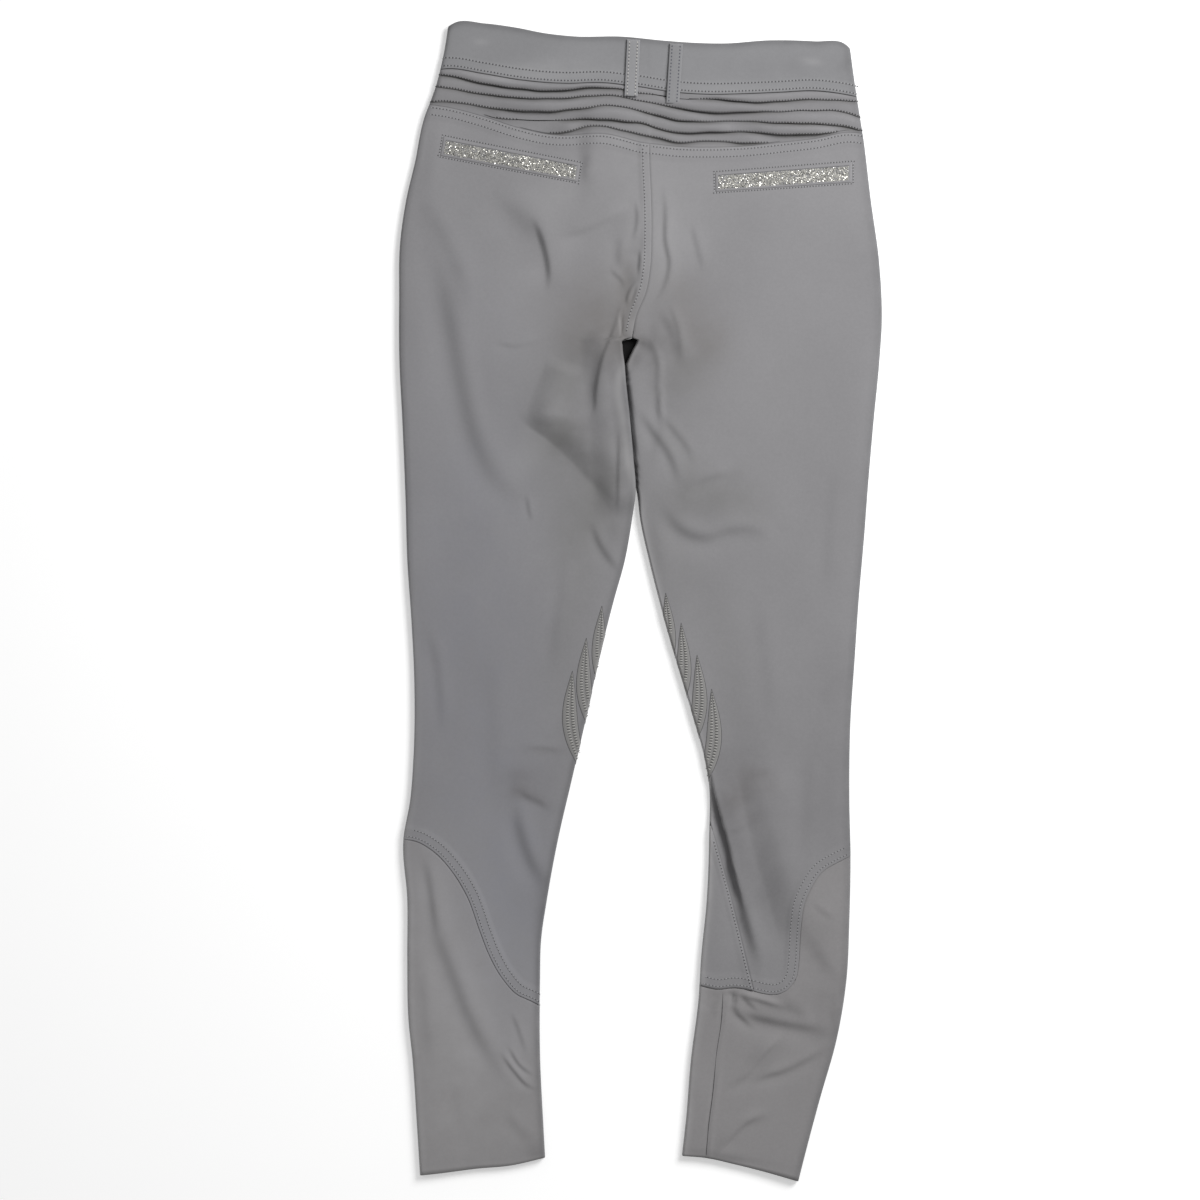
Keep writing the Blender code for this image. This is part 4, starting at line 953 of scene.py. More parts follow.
def calf_relief(side, x, y, body):
    """The body's turned edge along a calf seam, or the cuff's edge under it."""
    relief = np.zeros(np.shape(x))
    near, left, _ = beside(x, y, CALF_SEAM[side], SEAM_REACH)
    relief[near] = turned_edge(left, CALF_STEP) if body else tucked_edge(-left)
    return relief


def seat_relief(x, y, side):
    """The seat seam's turned edge lies to its left."""
    away = x - seat_seam(y)
    shown = smooth_step((y - CROTCH_Y) / SEAT_EASE)
    return shown * (turned_edge(-away, SEAT_STEP) if side == "left" else tucked_edge(away))


def inseam_relief(x, y, side):
    """The inseam's turned edge is the front's, to its left."""
    away = x - inseam_right(y)
    shown = smooth_step((INSEAM_TOP_Y - y) / INSEAM_EASE)
    return shown * (turned_edge(-away, INSEAM_STEP) if side == "front" else tucked_edge(away))


def back_surface(side, x, y):
    """A back panel's outer face, seams and all."""
    z = BACK_HEIGHT[side](x, y) + calf_relief(side, x, y, True)
    if side == "right":
        z = z + inseam_relief(x, y, "back")
    return z + turned_edge(yoke_seam(x) - y, YOKE_STEP) + seat_relief(x, y, side)


def strip_surface(x, y):
    """The outer face of the right front where it is turned up at the calf."""
    return BACK_HEIGHT["right"](x, y) + calf_relief("right", x, y, True) + inseam_relief(x, y, "front")


def under_edge(y):
    """The right back's inner side, which goes under the pieces beside it except where it lies free."""
    return back_edge_right(y) - UNDERLAP * ((y > CROTCH_Y + INSEAM_EASE) | (y < INSEAM_TOP_Y - INSEAM_EASE))


CALF_LEAN_WIDTH, CROTCH_LEAN_WIDTH = 7, 5
BACK_ROWS = [(300, 1.9), (100, 1.6), (-120, 2.5)]  # y, spacing of the rows of points down to it
FRONT_ROWS = [(230, 3.6), (60, 3.0)]


def make_back(side):
    left_x, right_x = side_to_side(yoke_seam)
    bottom = CALF_SEAM[side]
    if side == "left":
        edges = outer_left, moved(back_edge_left, -SEAM_GAP / 2)
        top = cut_at(YOKE_SEAM, left_x, SEAT_TOP_X)
        low_start, low_y, ease = 0.0, bottom[-1][1], 0.45
    else:
        edges = under_edge, outer_right
        top = cut_at(YOKE_SEAM, SEAT_TOP_X - UNDERLAP, right_x)
        low_start, low_y, ease = length_parts(bottom)[INSEAM_POINT], bottom[INSEAM_POINT][1], -0.23
    across = crowded(108, ease)
    stations = rows_between(SEAT_TOP_Y, (SEAT_TOP_Y - 1.2, 0.4), *BACK_ROWS, (low_y + 12, 2.1),
                            (low_y + 1.2, 1.3), (low_y, 0.4))
    along = (stations - SEAT_TOP_Y) / (low_y - SEAT_TOP_Y)
    x, y = plan(*edges, top, bottom, across, along, low_start + (1 - low_start) * across, 0.0, 0.0)
    z = back_surface(side, x, y)
    if side == "right":
        x = x - lean(x, y, CALF_FOLD, CALF_LEAN, CALF_LEAN_WIDTH)
    else:
        x = x + lean(x, y, CROTCH_FOLD, CROTCH_LEAN, CROTCH_LEAN_WIDTH)
    return cloth(f"back_{side}", np.stack([x, y, z], -1), SHELL, cloths["breeches_cloth"])


def front_stations(*low_stations):
    return rows_between(FLY_TOP_Y, *FRONT_ROWS, *low_stations)


def front_plan(side, stations):
    if side == "left":
        edges = outer_left, moved(front_edge_left, -SEAM_GAP / 2)
        side_x, low_y = FRONT_WAIST_SEAM[0][0], FRONT_CALF_SEAM_LEFT[-1][1]
    else:
        edges = moved(front_edge_right, SEAM_GAP / 2), outer_right
        side_x, low_y = FRONT_WAIST_SEAM[-1][0], FRONT_CALF_SEAM_RIGHT[0][1]
    top = cut_at(FRONT_WAIST_SEAM, *sorted([side_x, FLY_TOP_X]))
    along = (stations - FLY_TOP_Y) / (low_y - FLY_TOP_Y)
    x, y = plan(*edges, top, FRONT_CALF_SEAM[side], crowded(56), along)
    return np.stack([x, y, FRONT_HEIGHT[side](x, y)], -1)


def make_front(side):
    """The right front also turns up round the leg's inner edge at the calf, as far as the inseam."""
    if side == "left":
        points = front_plan(side, front_stations((FRONT_CALF_SEAM_LEFT[-1][1], 3.6)))
        return cloth("front_left", points, SHELL, cloths["breeches_cloth"], turned=True)
    under = front_plan(side, front_stations((INSEAM_TOP_Y, 3.6), (FRONT_CALF_SEAM_RIGHT[0][1], 1.8)))
    rows = under[:, 0, 1] < INSEAM_TOP_Y - 0.5
    edge_x, edge_y = under[rows, :1, 0], under[rows, :1, 1]
    strip_part = length_parts(CALF_SEAM_RIGHT)[INSEAM_POINT]
    columns = crowded(26, 0.0, (0.004, 0.014, 0.03))
    seam_x, seam_y = points_along(CALF_SEAM_RIGHT, strip_part * columns[::-1])
    parts = (seam_x - seam_x[-1]) / (seam_x[0] - seam_x[-1])
    near_seam = smooth_step(1 - (edge_y - edge_y[-1]) / 40)
    y = edge_y + near_seam * (seam_y - seam_y[-1])
    x = edge_x + np.maximum(inseam_right(y) - edge_x, 0) * parts
    strip = np.stack([x, y, strip_surface(x, y)], -1)
    return cloth("front_right", under, SHELL, cloths["breeches_cloth"], turned=True, extra=strip)


CUFF_INSEAM = [(-333.0, 71.0), (-359.0, 69.8), (-389.0, 65.4), (-421.7, 62.4), (-453.5, 58.4), (-479.0, 56.4)]
cuff_inseam = spline(CUFF_INSEAM)
CUFF_EDGE = (0.003, 0.01, 0.022)
HEM_RIM, HEM_RIM_AT, HEM_RIM_WIDTH = 0.35, 1.2, 1.6
CUFF_DENT, CUFF_DENT_WIDTH = 0.45, 0.9  # along the right cuff's inseam
CUFF_STEP, CUFF_STEP_WIDTH, CUFF_STEP_FADE = 0.3, 4, 2  # its turned edge, to its right


def cuff_relief(x, y):
    """The right cuff's inseam, which lies on its upper half."""
    past = x - cuff_inseam(y)
    step = CUFF_STEP * smooth_step(past) * (1 - smooth_step((past - CUFF_STEP_WIDTH) / CUFF_STEP_FADE))
    return step - CUFF_DENT * np.exp(-((past / CUFF_DENT_WIDTH) ** 2))


def make_cuff(side):
    """A tube of stretch cloth: its upper half lies on its lower one."""
    edges = LEG_EDGES[side]
    over = crowded(78, 0.0, CUFF_EDGE)
    rows = np.concatenate([[0, 0.003, 0.006, 0.009], np.linspace(0.016, 0.985, 92), [1]])
    x, y = plan(*edges, CALF_SEAM[side], HEM[side], over, rows, over**0.8, -UNDERLAP)
    upper = BACK_HEIGHT[side](x, y) + calf_relief(side, x, y, False)
    hem_y = spline(HEM[side])(x)
    upper = upper + HEM_RIM * np.exp(-(((y - hem_y - HEM_RIM_AT) / HEM_RIM_WIDTH) ** 2))
    if side == "right":
        upper = upper + cuff_relief(x, y)
    under_x, under_y = plan(*edges, FRONT_CALF_SEAM[side], HEM[side], crowded(40, 0.0, CUFF_EDGE), rows)
    lower = np.stack([under_x, under_y, FRONT_HEIGHT[side](under_x, under_y)], -1)[:, ::-1]
    points = np.concatenate([np.stack([x, y, upper], -1), lower], axis=1)
    return cloth(f"cuff_{side}", points, SHELL, cloths["cuff_cloth"], around=True)


# The seams along the legs' edges: edge, which way is out, from y down to y.
SIDE_SEAMS = [
    (outer_left, -1, BAND_TOP[0][1] - 3, CALF_SEAM_LEFT[0][1]),
    (outer_right, 1, BAND_TOP[-1][1] - 3, CALF_SEAM_RIGHT[-1][1]),
    (inner_left, 1, CROTCH_Y - 8, CALF_SEAM_LEFT[-1][1]),
    (inner_right, -1, CROTCH_Y - 8, INSEAM_TOP_Y),
]
SIDE_SEAM_INSET, SIDE_SEAM_STEP = 0.45, 2.0
SIDE_SEAM_TOP, SIDE_SEAM_LOW = 2.9, 1.2


def make_side_seams():
    """The turned-in cloth that joins the back's edge to the front's, a little inside both."""
    points, faces, count = [], [], 0
    for edge, outward, top_y, low_y in SIDE_SEAMS:
        y = np.arange(top_y, low_y, -SIDE_SEAM_STEP)
        x = edge(y) - outward * SIDE_SEAM_INSET
        ends = [np.stack([x, y, np.full_like(y, z)], -1) for z in (SIDE_SEAM_TOP, SIDE_SEAM_LOW)]
        points.append(np.stack(ends, 1).reshape(-1, 3))
        faces.append(grid_faces(len(y), 2, count, False, outward < 0))
        count += 2 * len(y)
    seams = new_mesh("side_seams", np.concatenate(points), np.concatenate(faces), cloths["breeches_cloth"])
    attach(seams, "root")


BAND_ROWS = (2.4, 9.2)  # heights of its two rows of stitches over the waist seam
BAND_TOP_DROP, BAND_TOP_ROLL = 0.9, 1.6  # its rounded top
BAND_LOW_DROP, BAND_LOW_ROLL = 0.3, 1.4
BAND_STEP, BAND_STEP_FADE = 0.4, 1.6  # the doubled edge under its stitches
BAND_WAVES, BAND_WAVE_LENGTH = 0.3, 26
FRONT_BAND_SHARE = 0.6  # the front waistband lies flatter than the fronts


def band_surface(x, y):
    """The back waistband's outer face."""
    down = spline(BAND_TOP)(x) - y
    up = y - waist_seam(x)
    z = back_height(x, y) + BAND_RISE - BAND_TOP_DROP * (1 - rolled(down, BAND_TOP_ROLL))
    z = z + BAND_STEP * (1 - smooth_step((up - BAND_ROWS[1]) / BAND_STEP_FADE))
    z = z + BAND_WAVES * drift(x, y, BAND_WAVE_LENGTH, 1.0)
    return z - BAND_LOW_DROP * (1 - rolled(up, BAND_LOW_ROLL))


def front_band_surface(side, x, y):
    return FRONT_BAND_SHARE * FRONT_HEIGHT[side](x, y)


def make_waistband_back():
    bottom = cut_at(WAIST_SEAM, *side_to_side(waist_seam), 40)
    rows = np.concatenate([[0, 0.006, 0.02, 0.05], np.linspace(0.08, 0.96, 30), [0.985, 1]])
    x, y = plan(outer_left, outer_right, BAND_TOP, bottom, crowded(230), rows)
    return cloth("waistband_back", np.stack([x, y, band_surface(x, y)], -1), BAND_SHELL, cloths["band_cloth"])


def make_waistband_front(side):
    if side == "left":
        edges, ends = (outer_left, moved(fly_seam, -SEAM_GAP / 2)), (FRONT_BAND_TOP[0][0], FLY_TOP_X)
        low_ends = FRONT_WAIST_SEAM[0][0], FLY_TOP_X
    else:
        edges, ends = (moved(fly_seam, SEAM_GAP / 2), outer_right), (FLY_TOP_X, FRONT_BAND_TOP[-1][0])
        low_ends = FLY_TOP_X, FRONT_WAIST_SEAM[-1][0]
    top, bottom = cut_at(FRONT_BAND_TOP, *ends), cut_at(FRONT_WAIST_SEAM, *low_ends)
    x, y = plan(*edges, top, bottom, crowded(70), np.linspace(0, 1, 20))
    points = np.stack([x, y, front_band_surface(side, x, y)], -1)
    return cloth(f"waistband_front_{side}", points, BAND_SHELL, cloths["band_cloth"], turned=True)


# Tucks. Where a tuck stands open: columns x, part of the full rise.
TUCK_RISE, TUCK_RIPPLE, TUCK_FADE = 3.2, 0.45, 3.5
TUCK_RIPPLE_LENGTH = 9.0
TUCK_WOBBLE, TUCK_WOBBLE_LENGTH = 0.12, 22  # unevenness of the rise
TUCK_APART, TUCK_CLEAR = 0.9, 1.6  # least distances to the next fold, and to the waist seam
TUCK_LEAST = 0.15  # part of its size that a closed fold keeps
TUCK_UNDER = 2.6  # how far the recess under a fold goes back
TUCK_UNDER_PART, TUCK_BACK_PART = 0.4, 0.8
TUCK_OPEN = [
    [(-190, 0.4), (-168, 0.6), (-140, 1.3), (-100, 1.5), (-40, 1.2), (-18, 0.6), (0, 0.3), (55, 0.35),
     (68, 1.0), (100, 1.2), (125, 0.8), (145, 0.5), (190, 0.4)],
    [(-190, 0.4), (-150, 0.5), (-110, 0.9), (-70, 0.8), (-35, 0.5), (20, 0.5), (38, 1.3), (62, 1.5),
     (95, 1.2), (112, 0.55), (190, 0.4)],
    [(-190, 0.4), (-130, 0.6), (-110, 1.2), (-60, 1.2), (-40, 0.5), (0, 0.5), (20, 1.1), (42, 1.1), (58, 0.5),
     (100, 0.5), (125, 0.9), (165, 0.8), (190, 0.6)],
    [(-190, 0.4), (-140, 0.4), (-60, 0.5), (-45, 1.1), (-12, 1.2), (5, 0.7), (25, 0.9), (40, 1.3), (70, 1.2),
     (80, 0.6), (92, 0.6), (105, 1.1), (150, 1.3), (190, 0.7)],
    [(-190, 0.6), (-85, 1.0), (-62, 1.0), (-48, 0.5), (0, 0.5), (30, 0.8), (48, 0.5), (85, 0.6), (98, 1.2),
     (120, 1.1), (190, 0.8)],
]
# A tuck's section between the line above it and its fold: part of the way, part of the rise.
TUCK_SECTION = [(0.03, 0.06), (0.1, 0.3), (0.2, 0.58), (0.33, 0.84), (0.47, 0.98), (0.6, 1.0), (0.73, 0.95),
                (0.86, 0.84), (0.94, 0.72)]
# The fold itself, and the way back under it: distance below the fold line, part of the rise.
TUCK_FOLD = [(-0.3, 0.64), (0.0, 0.54), (0.1, 0.44), (0.0, 0.36), (-0.3, 0.3), (-0.8, 0.28)]
TUCK_BACK = [(0.55, 0.22), (1.0, 0.1), (0.85, -0.05)]  # part of the way back, part of the rise


def make_yoke():
    """The yoke's rows follow its tucks: each tuck rises to a fold, and goes back under it."""
    waist, *tucks, low = [spline([(row[0], row[column]) for row in YOKE]) for column in range(1, 8)]
    columns = crowded(250)

    def place(y_of):
        left_x, right_x = side_to_side(y_of)
        x = left_x + columns * (right_x - left_x)
        return x, y_of(x)

    rows = []
    for up, height in ((0.9, -0.85), (0.0, -0.75), (-0.5, -0.25)):
        rows.append((*place(lambda x, up=up: waist(x) + up), height))
    fold_rows = []
    above, above_x = waist, place(waist)[0]
    for number, tuck in enumerate(tucks):
        least = TUCK_APART * (len(tucks) - number)
        opening = spline(TUCK_OPEN[number])

        def fold_line(x, tuck=tuck, least=least, number=number):
            ripple = TUCK_RIPPLE * drift(x, 0 * x, TUCK_RIPPLE_LENGTH, number)
            return np.minimum(np.maximum(tuck(x) + ripple, low(x) + least), waist(x) - TUCK_CLEAR)

        x, y = place(fold_line)
        shown = smooth_step((tuck(x) - low(x)) / TUCK_FADE)
        edge = rolled(np.minimum(x - outer_left(y), outer_right(y) - x), ROLL)
        wobble = 1 + TUCK_WOBBLE * drift(x, y, TUCK_WOBBLE_LENGTH, number)
        rise = TUCK_RISE * shown * edge * opening(x) * wobble
        depth = above(x) - y
        for part, height in TUCK_SECTION:
            row_x = above_x + part * (x - above_x)
            rows.append((row_x, above(row_x) + part * (fold_line(row_x) - above(row_x)), height * rise))
        size = shown * np.clip(rise / TUCK_RISE, TUCK_LEAST, 1)
        for down, height in TUCK_FOLD:
            rows.append((x, y - down * size, height * rise))
        fold_rows.append(len(rows) - len(TUCK_FOLD) - 1)
        back = np.minimum(TUCK_UNDER, TUCK_UNDER_PART * depth) * size
        for part, height in TUCK_BACK:
            rows.append((x, y + TUCK_BACK_PART * size + part * back * TUCK_BACK_PART, height * rise))
        above, above_x = fold_line, x
    last_x, last_y = place(lambda x: low(x) + 0.9)
    x, y = place(above)
    for part in (0.15, 0.5, 0.85, 1.0):
        rows.append((x + part * (last_x - x), y + part * (last_y - y), 0.0))
    for up in (0.45, 0.1, -UNDERLAP):
        rows.append((*place(lambda x, up=up: low(x) + up), tucked_edge(up)))
    x, y, rise = (np.stack([np.broadcast_to(row[i], columns.shape) for row in rows]) for i in range(3))
    points = np.stack([x, y, back_height(x, y) + rise], -1)
    obj = cloth("yoke_back", points, YOKE_SHELL, cloths["yoke_cloth_painted_shade"])
    lines = [points[row] for row in fold_rows]
    # The recess under each fold gets painted shadow.
    put_values(obj, "painted_recess_shadow", under_folds(obj, lines))
    return obj, lines


# The painted shadow under each tuck's fold: how far down it reaches, and its strength.
RECESS_DEPTH, RECESS_PAINTED_SHADOW = 3.0, 0.55
RECESS_RISE = 1.4  # height of a fold with its full shadow


def under_folds(obj, lines):
    """Painted shadow in the recess under each tuck's fold, fading down the yoke."""
    x, y, _ = places_of(obj)
    amount = np.zeros(len(x))
    for line_x, line_y, line_z in (line.T for line in lines):
        down = np.interp(x, line_x, line_y) - y
        open_here = np.clip((line_z - back_height(line_x, line_y)) / RECESS_RISE, 0, 1)
        near = (down > -0.1) * np.exp(-((np.maximum(down, 0) / RECESS_DEPTH) ** 2))
        amount = np.maximum(amount, RECESS_PAINTED_SHADOW * near * np.interp(x, line_x, open_here))
    return amount


POCKET_FRAMES = {
    "left": [(-169.5, 400.4), (-51.9, 377.5), (-54.3, 361.6), (-172.3, 384.0)],
    "right": [(64.3, 369.4), (181.8, 378.2), (181.8, 361.0), (64.7, 353.1)],
}
# A pocket frame's section: inset, height.
FRAME_SECTION = [(0.0, -0.64), (0.5, -0.45), (1.2, -0.3), (1.9, -0.26), (2.3, -0.3), (2.6, -0.55)]
FRAME_STEPS, FRAME_ROWS, STRIP_ROWS = 96, 5, 9
STRIP_INSET, STRIP_DEPTH = 2.2, 0.34
STRIP_DROP = 0.5  # the strip lies a little low in its frame
FLAKES, FLAKE_SIZES, FLAKE_TILT = 3000, (0.55, 1.0), 30
FLAKE_INSET, FLAKE_DEPTHS = 2.7, (-0.3, -0.08)
FLAKE_BRIGHTNESS = (1.4, 1.2)  # of the beta distribution


def inset_parts(side, inset):
    """An inset as parts of a pocket frame's length and width."""
    corners = POCKET_FRAMES[side]
    return inset / math.dist(corners[0], corners[1]), inset / math.dist(corners[1], corners[2])


def in_frame(side, along, across):
    """x and y in a pocket's frame, at parts of its length and width."""
    a, b, c, d = np.array(POCKET_FRAMES[side])
    return (a * (1 - along) + b * along) * (1 - across) + (d * (1 - along) + c * along) * across


def frame_places(side, inset, columns, rows):
    """x and y in a pocket's frame, as rows by columns, inset from its sides."""
    long_part, short_part = inset_parts(side, inset)
    along = np.linspace(long_part, 1 - long_part, columns)[None, :, None]
    return in_frame(side, along, np.linspace(short_part, 1 - short_part, rows)[:, None, None])


def ring_of(grid):
    return np.concatenate([grid[0], grid[1:, -1], grid[-1, -2::-1], grid[1:-1, 0][::-1]])


def pocket_height(side, x, y):
    """Height of a pocket's pieces over the panel: the whole pocket stands a little raised, its mouth open."""
    return back_surface(side, x, y) + LAY_GAP + TRIM_SHELL


def make_pocket_frame(side):
    rings = []
    for inset, height in FRAME_SECTION:
        flat = ring_of(frame_places(side, inset, FRAME_STEPS, FRAME_ROWS))
        rings.append(np.column_stack([flat, pocket_height(side, *flat.T) + height]))
    return cloth(f"pocket_welt_{side}", np.stack(rings), TRIM_SHELL, cloths["breeches_cloth"], around=True)


def make_glitter_strip(side):
    flat = frame_places(side, STRIP_INSET, FRAME_STEPS, STRIP_ROWS) - np.array([0, STRIP_DROP])
    z = pocket_height(side, flat[..., 0], flat[..., 1]) - STRIP_DEPTH
    points = np.concatenate([flat, z[..., None]], -1)
    return cloth(f"pocket_glitter_{side}", points, TRIM_SHELL, glitter_bed, marked=False)


def make_flakes(side):
    """Small bright flakes scattered over the glitter strip."""
    rng = np.random.default_rng(SEED + len(side))
    long_part, short_part = inset_parts(side, FLAKE_INSET)
    along = rng.uniform(long_part, 1 - long_part, FLAKES)[:, None]
    across = rng.uniform(short_part, 1 - short_part, FLAKES)[:, None]
    flat = in_frame(side, along, across) - np.array([0, STRIP_DROP])
    centre = np.column_stack([flat, pocket_height(side, *flat.T) + rng.uniform(*FLAKE_DEPTHS, FLAKES)])
    tilt = np.radians(rng.uniform(0, FLAKE_TILT, FLAKES))
    facing, turn = rng.uniform(0, 2 * np.pi, (2, FLAKES))
    normal = np.stack([np.sin(tilt) * np.cos(facing), np.sin(tilt) * np.sin(facing), np.cos(tilt)], -1)
    first = np.stack([np.cos(turn), np.sin(turn), np.zeros(FLAKES)], -1)
    first = unit(first - (first * normal).sum(-1, keepdims=True) * normal)
    second = np.cross(normal, first)
    size = rng.uniform(*FLAKE_SIZES, (FLAKES, 1)) / 2
    corners = (-1, -1), (1, -1), (1, 1), (-1, 1)
    quads = np.stack([centre + size * (a * first + b * second) for a, b in corners], 1)
    obj = new_mesh(f"pocket_flakes_{side}", quads, np.arange(4 * FLAKES).reshape(-1, 4), glitter)
    put_values(obj, "spark", np.repeat(rng.beta(*FLAKE_BRIGHTNESS, FLAKES), 4))
    obj.data.shade_flat()
    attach(obj, "root")


# Belt loops: x and y of the top and the bottom.
BELT_LOOPS = {"left": (-6.0, 484.0, -8.3, 434.8), "right": (30.8, 480.3, 27.6, 428.6)}
LOOP_CLOTHS = {"left": cloths["loop_cloth"], "right": cloths["loop_cloth_painted_shade"]}
LOOP_WIDTH = 11.4
# How high a loop stands: part of its length, height. Its section: part of its width, height.
LOOP_STAND = [(0.0, 0.4), (0.12, 0.45), (0.5, 0.75), (0.85, 1.25), (1.0, 1.5)]
LOOP_SECTION = [(-0.5, -0.45), (-0.485, -0.12), (-0.45, 0.0), (-0.36, -0.02), (-0.28, 0.04), (0.0, 0.1),
                (0.28, 0.04), (0.36, -0.02), (0.45, 0.0), (0.485, -0.12), (0.5, -0.45)]
LOOP_LIFT = 1.0
LOOP_END_DROP, LOOP_END_ROLL = 0.5, 1.5


def loop_points(side, parts, across):
    """Points on a belt loop's outer face."""
    top_x, top_y, low_x, low_y = BELT_LOOPS[side]
    parts, across = np.broadcast_arrays(parts, across)
    long = math.hypot(low_x - top_x, low_y - top_y)
    middle_x, middle_y = top_x + parts * (low_x - top_x), top_y + parts * (low_y - top_y)
    x = middle_x - across * LOOP_WIDTH * (low_y - top_y) / long
    y = middle_y + across * LOOP_WIDTH * (low_x - top_x) / long
    base = back_height(middle_x, np.maximum(middle_y, waist_seam(middle_x) + 2)) + BAND_RISE
    ends = sum(LOOP_END_DROP * (1 - rolled(part * long, LOOP_END_ROLL)) for part in (parts, 1 - parts))
    return x, y, base + spline(LOOP_STAND)(parts) + LOOP_LIFT - ends


def make_belt_loop(side):
    parts = np.concatenate([[0, 0.012], np.linspace(0.03, 0.97, 40), [0.988, 1]])
    section = np.array(LOOP_SECTION)
    x, y, z = loop_points(side, parts[:, None], section[:, 0])
    points = np.stack([x, y, z + section[:, 1]], -1)[:, ::-1]
    return cloth(f"belt_loop_{side}", points, LOOP_SHELL, LOOP_CLOTHS[side], marked=False,
                 turned=True)


# ---------------------------------------------------------------- stitching

PITCH, TUCK_PITCH, POCKET_PITCH = 2.9, 2.5, 2.5
# Half length, half width and height of a stitch.
STITCH, TUCK_STITCH = (0.95, 0.36, 0.26), (0.7, 0.34, 0.26)
LOOP_STITCH, POCKET_STITCH = (0.8, 0.55, 0.3), (0.8, 0.33, 0.22)
# Half length and half width of the flat dark quad between two stitches, painted shadow for the gap.
SHADOW_DOT, CALF_SHADOW_DOT, BAND_SHADOW_DOT = (0.64, 0.66), (0.52, 0.5), (0.74, 0.84)
TUCK_SHADOW_DOT, LOOP_SHADOW_DOT = (0.95, 0.9), (0.5, 0.55)
SINK, SHADOW_DOT_LIFT = 0.02, 0.14
SLOPE_STEP = 0.3  # over which a surface's slope is measured
YOKE_ROWS, CALF_ROWS = (2.1, 8.1), (2.6, 8.6)  # distances of the rows from their seam
SEAT_ROW, INSEAM_ROW, FLY_ROW, POCKET_ROW = -5.6, -1.7, -5.6, -1.1
LOOP_ROWS = (-0.3, 0.3)  # parts of the loop's width
TUCK_SHOWN, TUCK_STITCH_LEAN, TUCK_STITCH_SHIFT = 0.35, 0.35, (0, 0.15, 0.02)
CUFF_INSEAM_FROM, CUFF_INSEAM_TO, CUFF_INSEAM_LIFT = -336, -477, 0.05
# The fly's curved row: its width, from y to y, and the bend from there to the end.
FLY_STITCH_WIDTH, FLY_ROW_TOP, FLY_ROW_LOW, FLY_BEND_TOP, FLY_BEND = 34, 428, 300, 345, 45


class Sewing:
    """Stitches gathered into one mesh, with small flat dark quads of painted shadow between them."""

    def __init__(self, name, thread):
        self.name, self.thread = name, thread
        self.points, self.faces, self.looks = [], [], []
        self.count = 0

    def add(self, points, faces, look):
        """points: one small shape per stitch, as stitches by points by 3. faces: of one shape, with four
        corners each."""
        shapes, corners = points.shape[:2]
        start = self.count + np.arange(shapes)[:, None, None] * corners
        self.faces.append((np.array(faces)[None] + start).reshape(-1, 4))
        self.looks.append(np.full(shapes * len(faces), look))
        self.points.append(points.reshape(-1, 3))
        self.count += shapes * corners

    def sew(self, centres, along, normal, size=STITCH, shadow_dot=SHADOW_DOT, pitch=PITCH):
        """A stitch at each centre: a small rounded bar lying along the seam."""
        across = np.cross(normal, along)
        length, width, height = size
        shape = [(-1, 0, 0), (1, 0, 0)]
        for at in (-0.55, 0.55):
            shape += [(at, 1, 0), (at, 0.6, 0.85), (at, -0.6, 0.85), (at, -1, 0)]
        points = np.stack([centres + a * length * along + b * width * across + (c * height - SINK) * normal
                           for a, b, c in shape], 1)
        bar = [(2, 6, 7, 3), (3, 7, 8, 4), (4, 8, 9, 5), (0, 2, 3, 0), (0, 3, 4, 0), (0, 4, 5, 0),
               (1, 7, 6, 1), (1, 8, 7, 1), (1, 9, 8, 1)]
        self.add(points, [face if face[0] != face[3] else (*face[:3], face[2]) for face in bar], 0)
        if shadow_dot:
            # A flat dark quad in the gap to the next stitch: painted shadow.
            at = centres + pitch / 2 * along + SHADOW_DOT_LIFT * normal
            ends = [(-1, 0), (0, -1), (1, 0), (0, 1)]
            shadow_dots = np.stack([at + a * shadow_dot[0] * along + b * shadow_dot[1] * across for a, b in ends], 1)
            self.add(shadow_dots, [(0, 1, 2, 3)], 1)

    def seam(self, flat, height, lift=0.0, size=STITCH, shadow_dot=SHADOW_DOT, pitch=PITCH, down=False):
        """A row of stitches along a line of x, y on a surface."""
        flat = np.asarray(flat, float)
        path = np.column_stack([flat, height(*flat.T)])
        centres, along = walk(path, pitch)
        x, y, near = centres[:, 0], centres[:, 1], SLOPE_STEP
        slope_x = (height(x + near, y) - height(x - near, y)) / (2 * near)
        slope_y = (height(x, y + near) - height(x, y - near)) / (2 * near)
        normal = unit(np.stack([-slope_x, -slope_y, np.ones(len(x))], -1))
        if down:
            normal = -normal
        centres[:, 2] = height(x, y)
        self.sew(centres + lift * normal, along, normal, size, shadow_dot, pitch)

    def finish(self):
        faces = [tuple(dict.fromkeys(face)) for face in np.concatenate(self.faces).tolist()]
        mesh = bpy.data.meshes.new(self.name)
        mesh.from_pydata((np.concatenate(self.points) * MM).tolist(), [], faces)
        mesh.materials.append(self.thread)
        mesh.materials.append(painted_stitch_shadow)
        mesh.polygons.foreach_set("material_index", np.concatenate(self.looks))
        mesh.shade_smooth()
        obj = link(bpy.data.objects.new(self.name, mesh))
        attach(obj, "root")
        return obj


def unit(vectors):
    return vectors / np.linalg.norm(vectors, axis=-1, keepdims=True)


def walk(path, pitch):
    """Places at every pitch along a path of points, and its direction there."""
    at = np.concatenate([[0], np.cumsum(np.linalg.norm(np.diff(path, axis=0), axis=1))])
    count = max(1, int(at[-1] / pitch))
    places = (np.arange(count) + 0.5) * at[-1] / count

    def read(where):
        return np.stack([np.interp(where, at, path[:, axis]) for axis in range(3)], -1)

    return read(places), unit(read(places + 0.5) - read(places - 0.5))


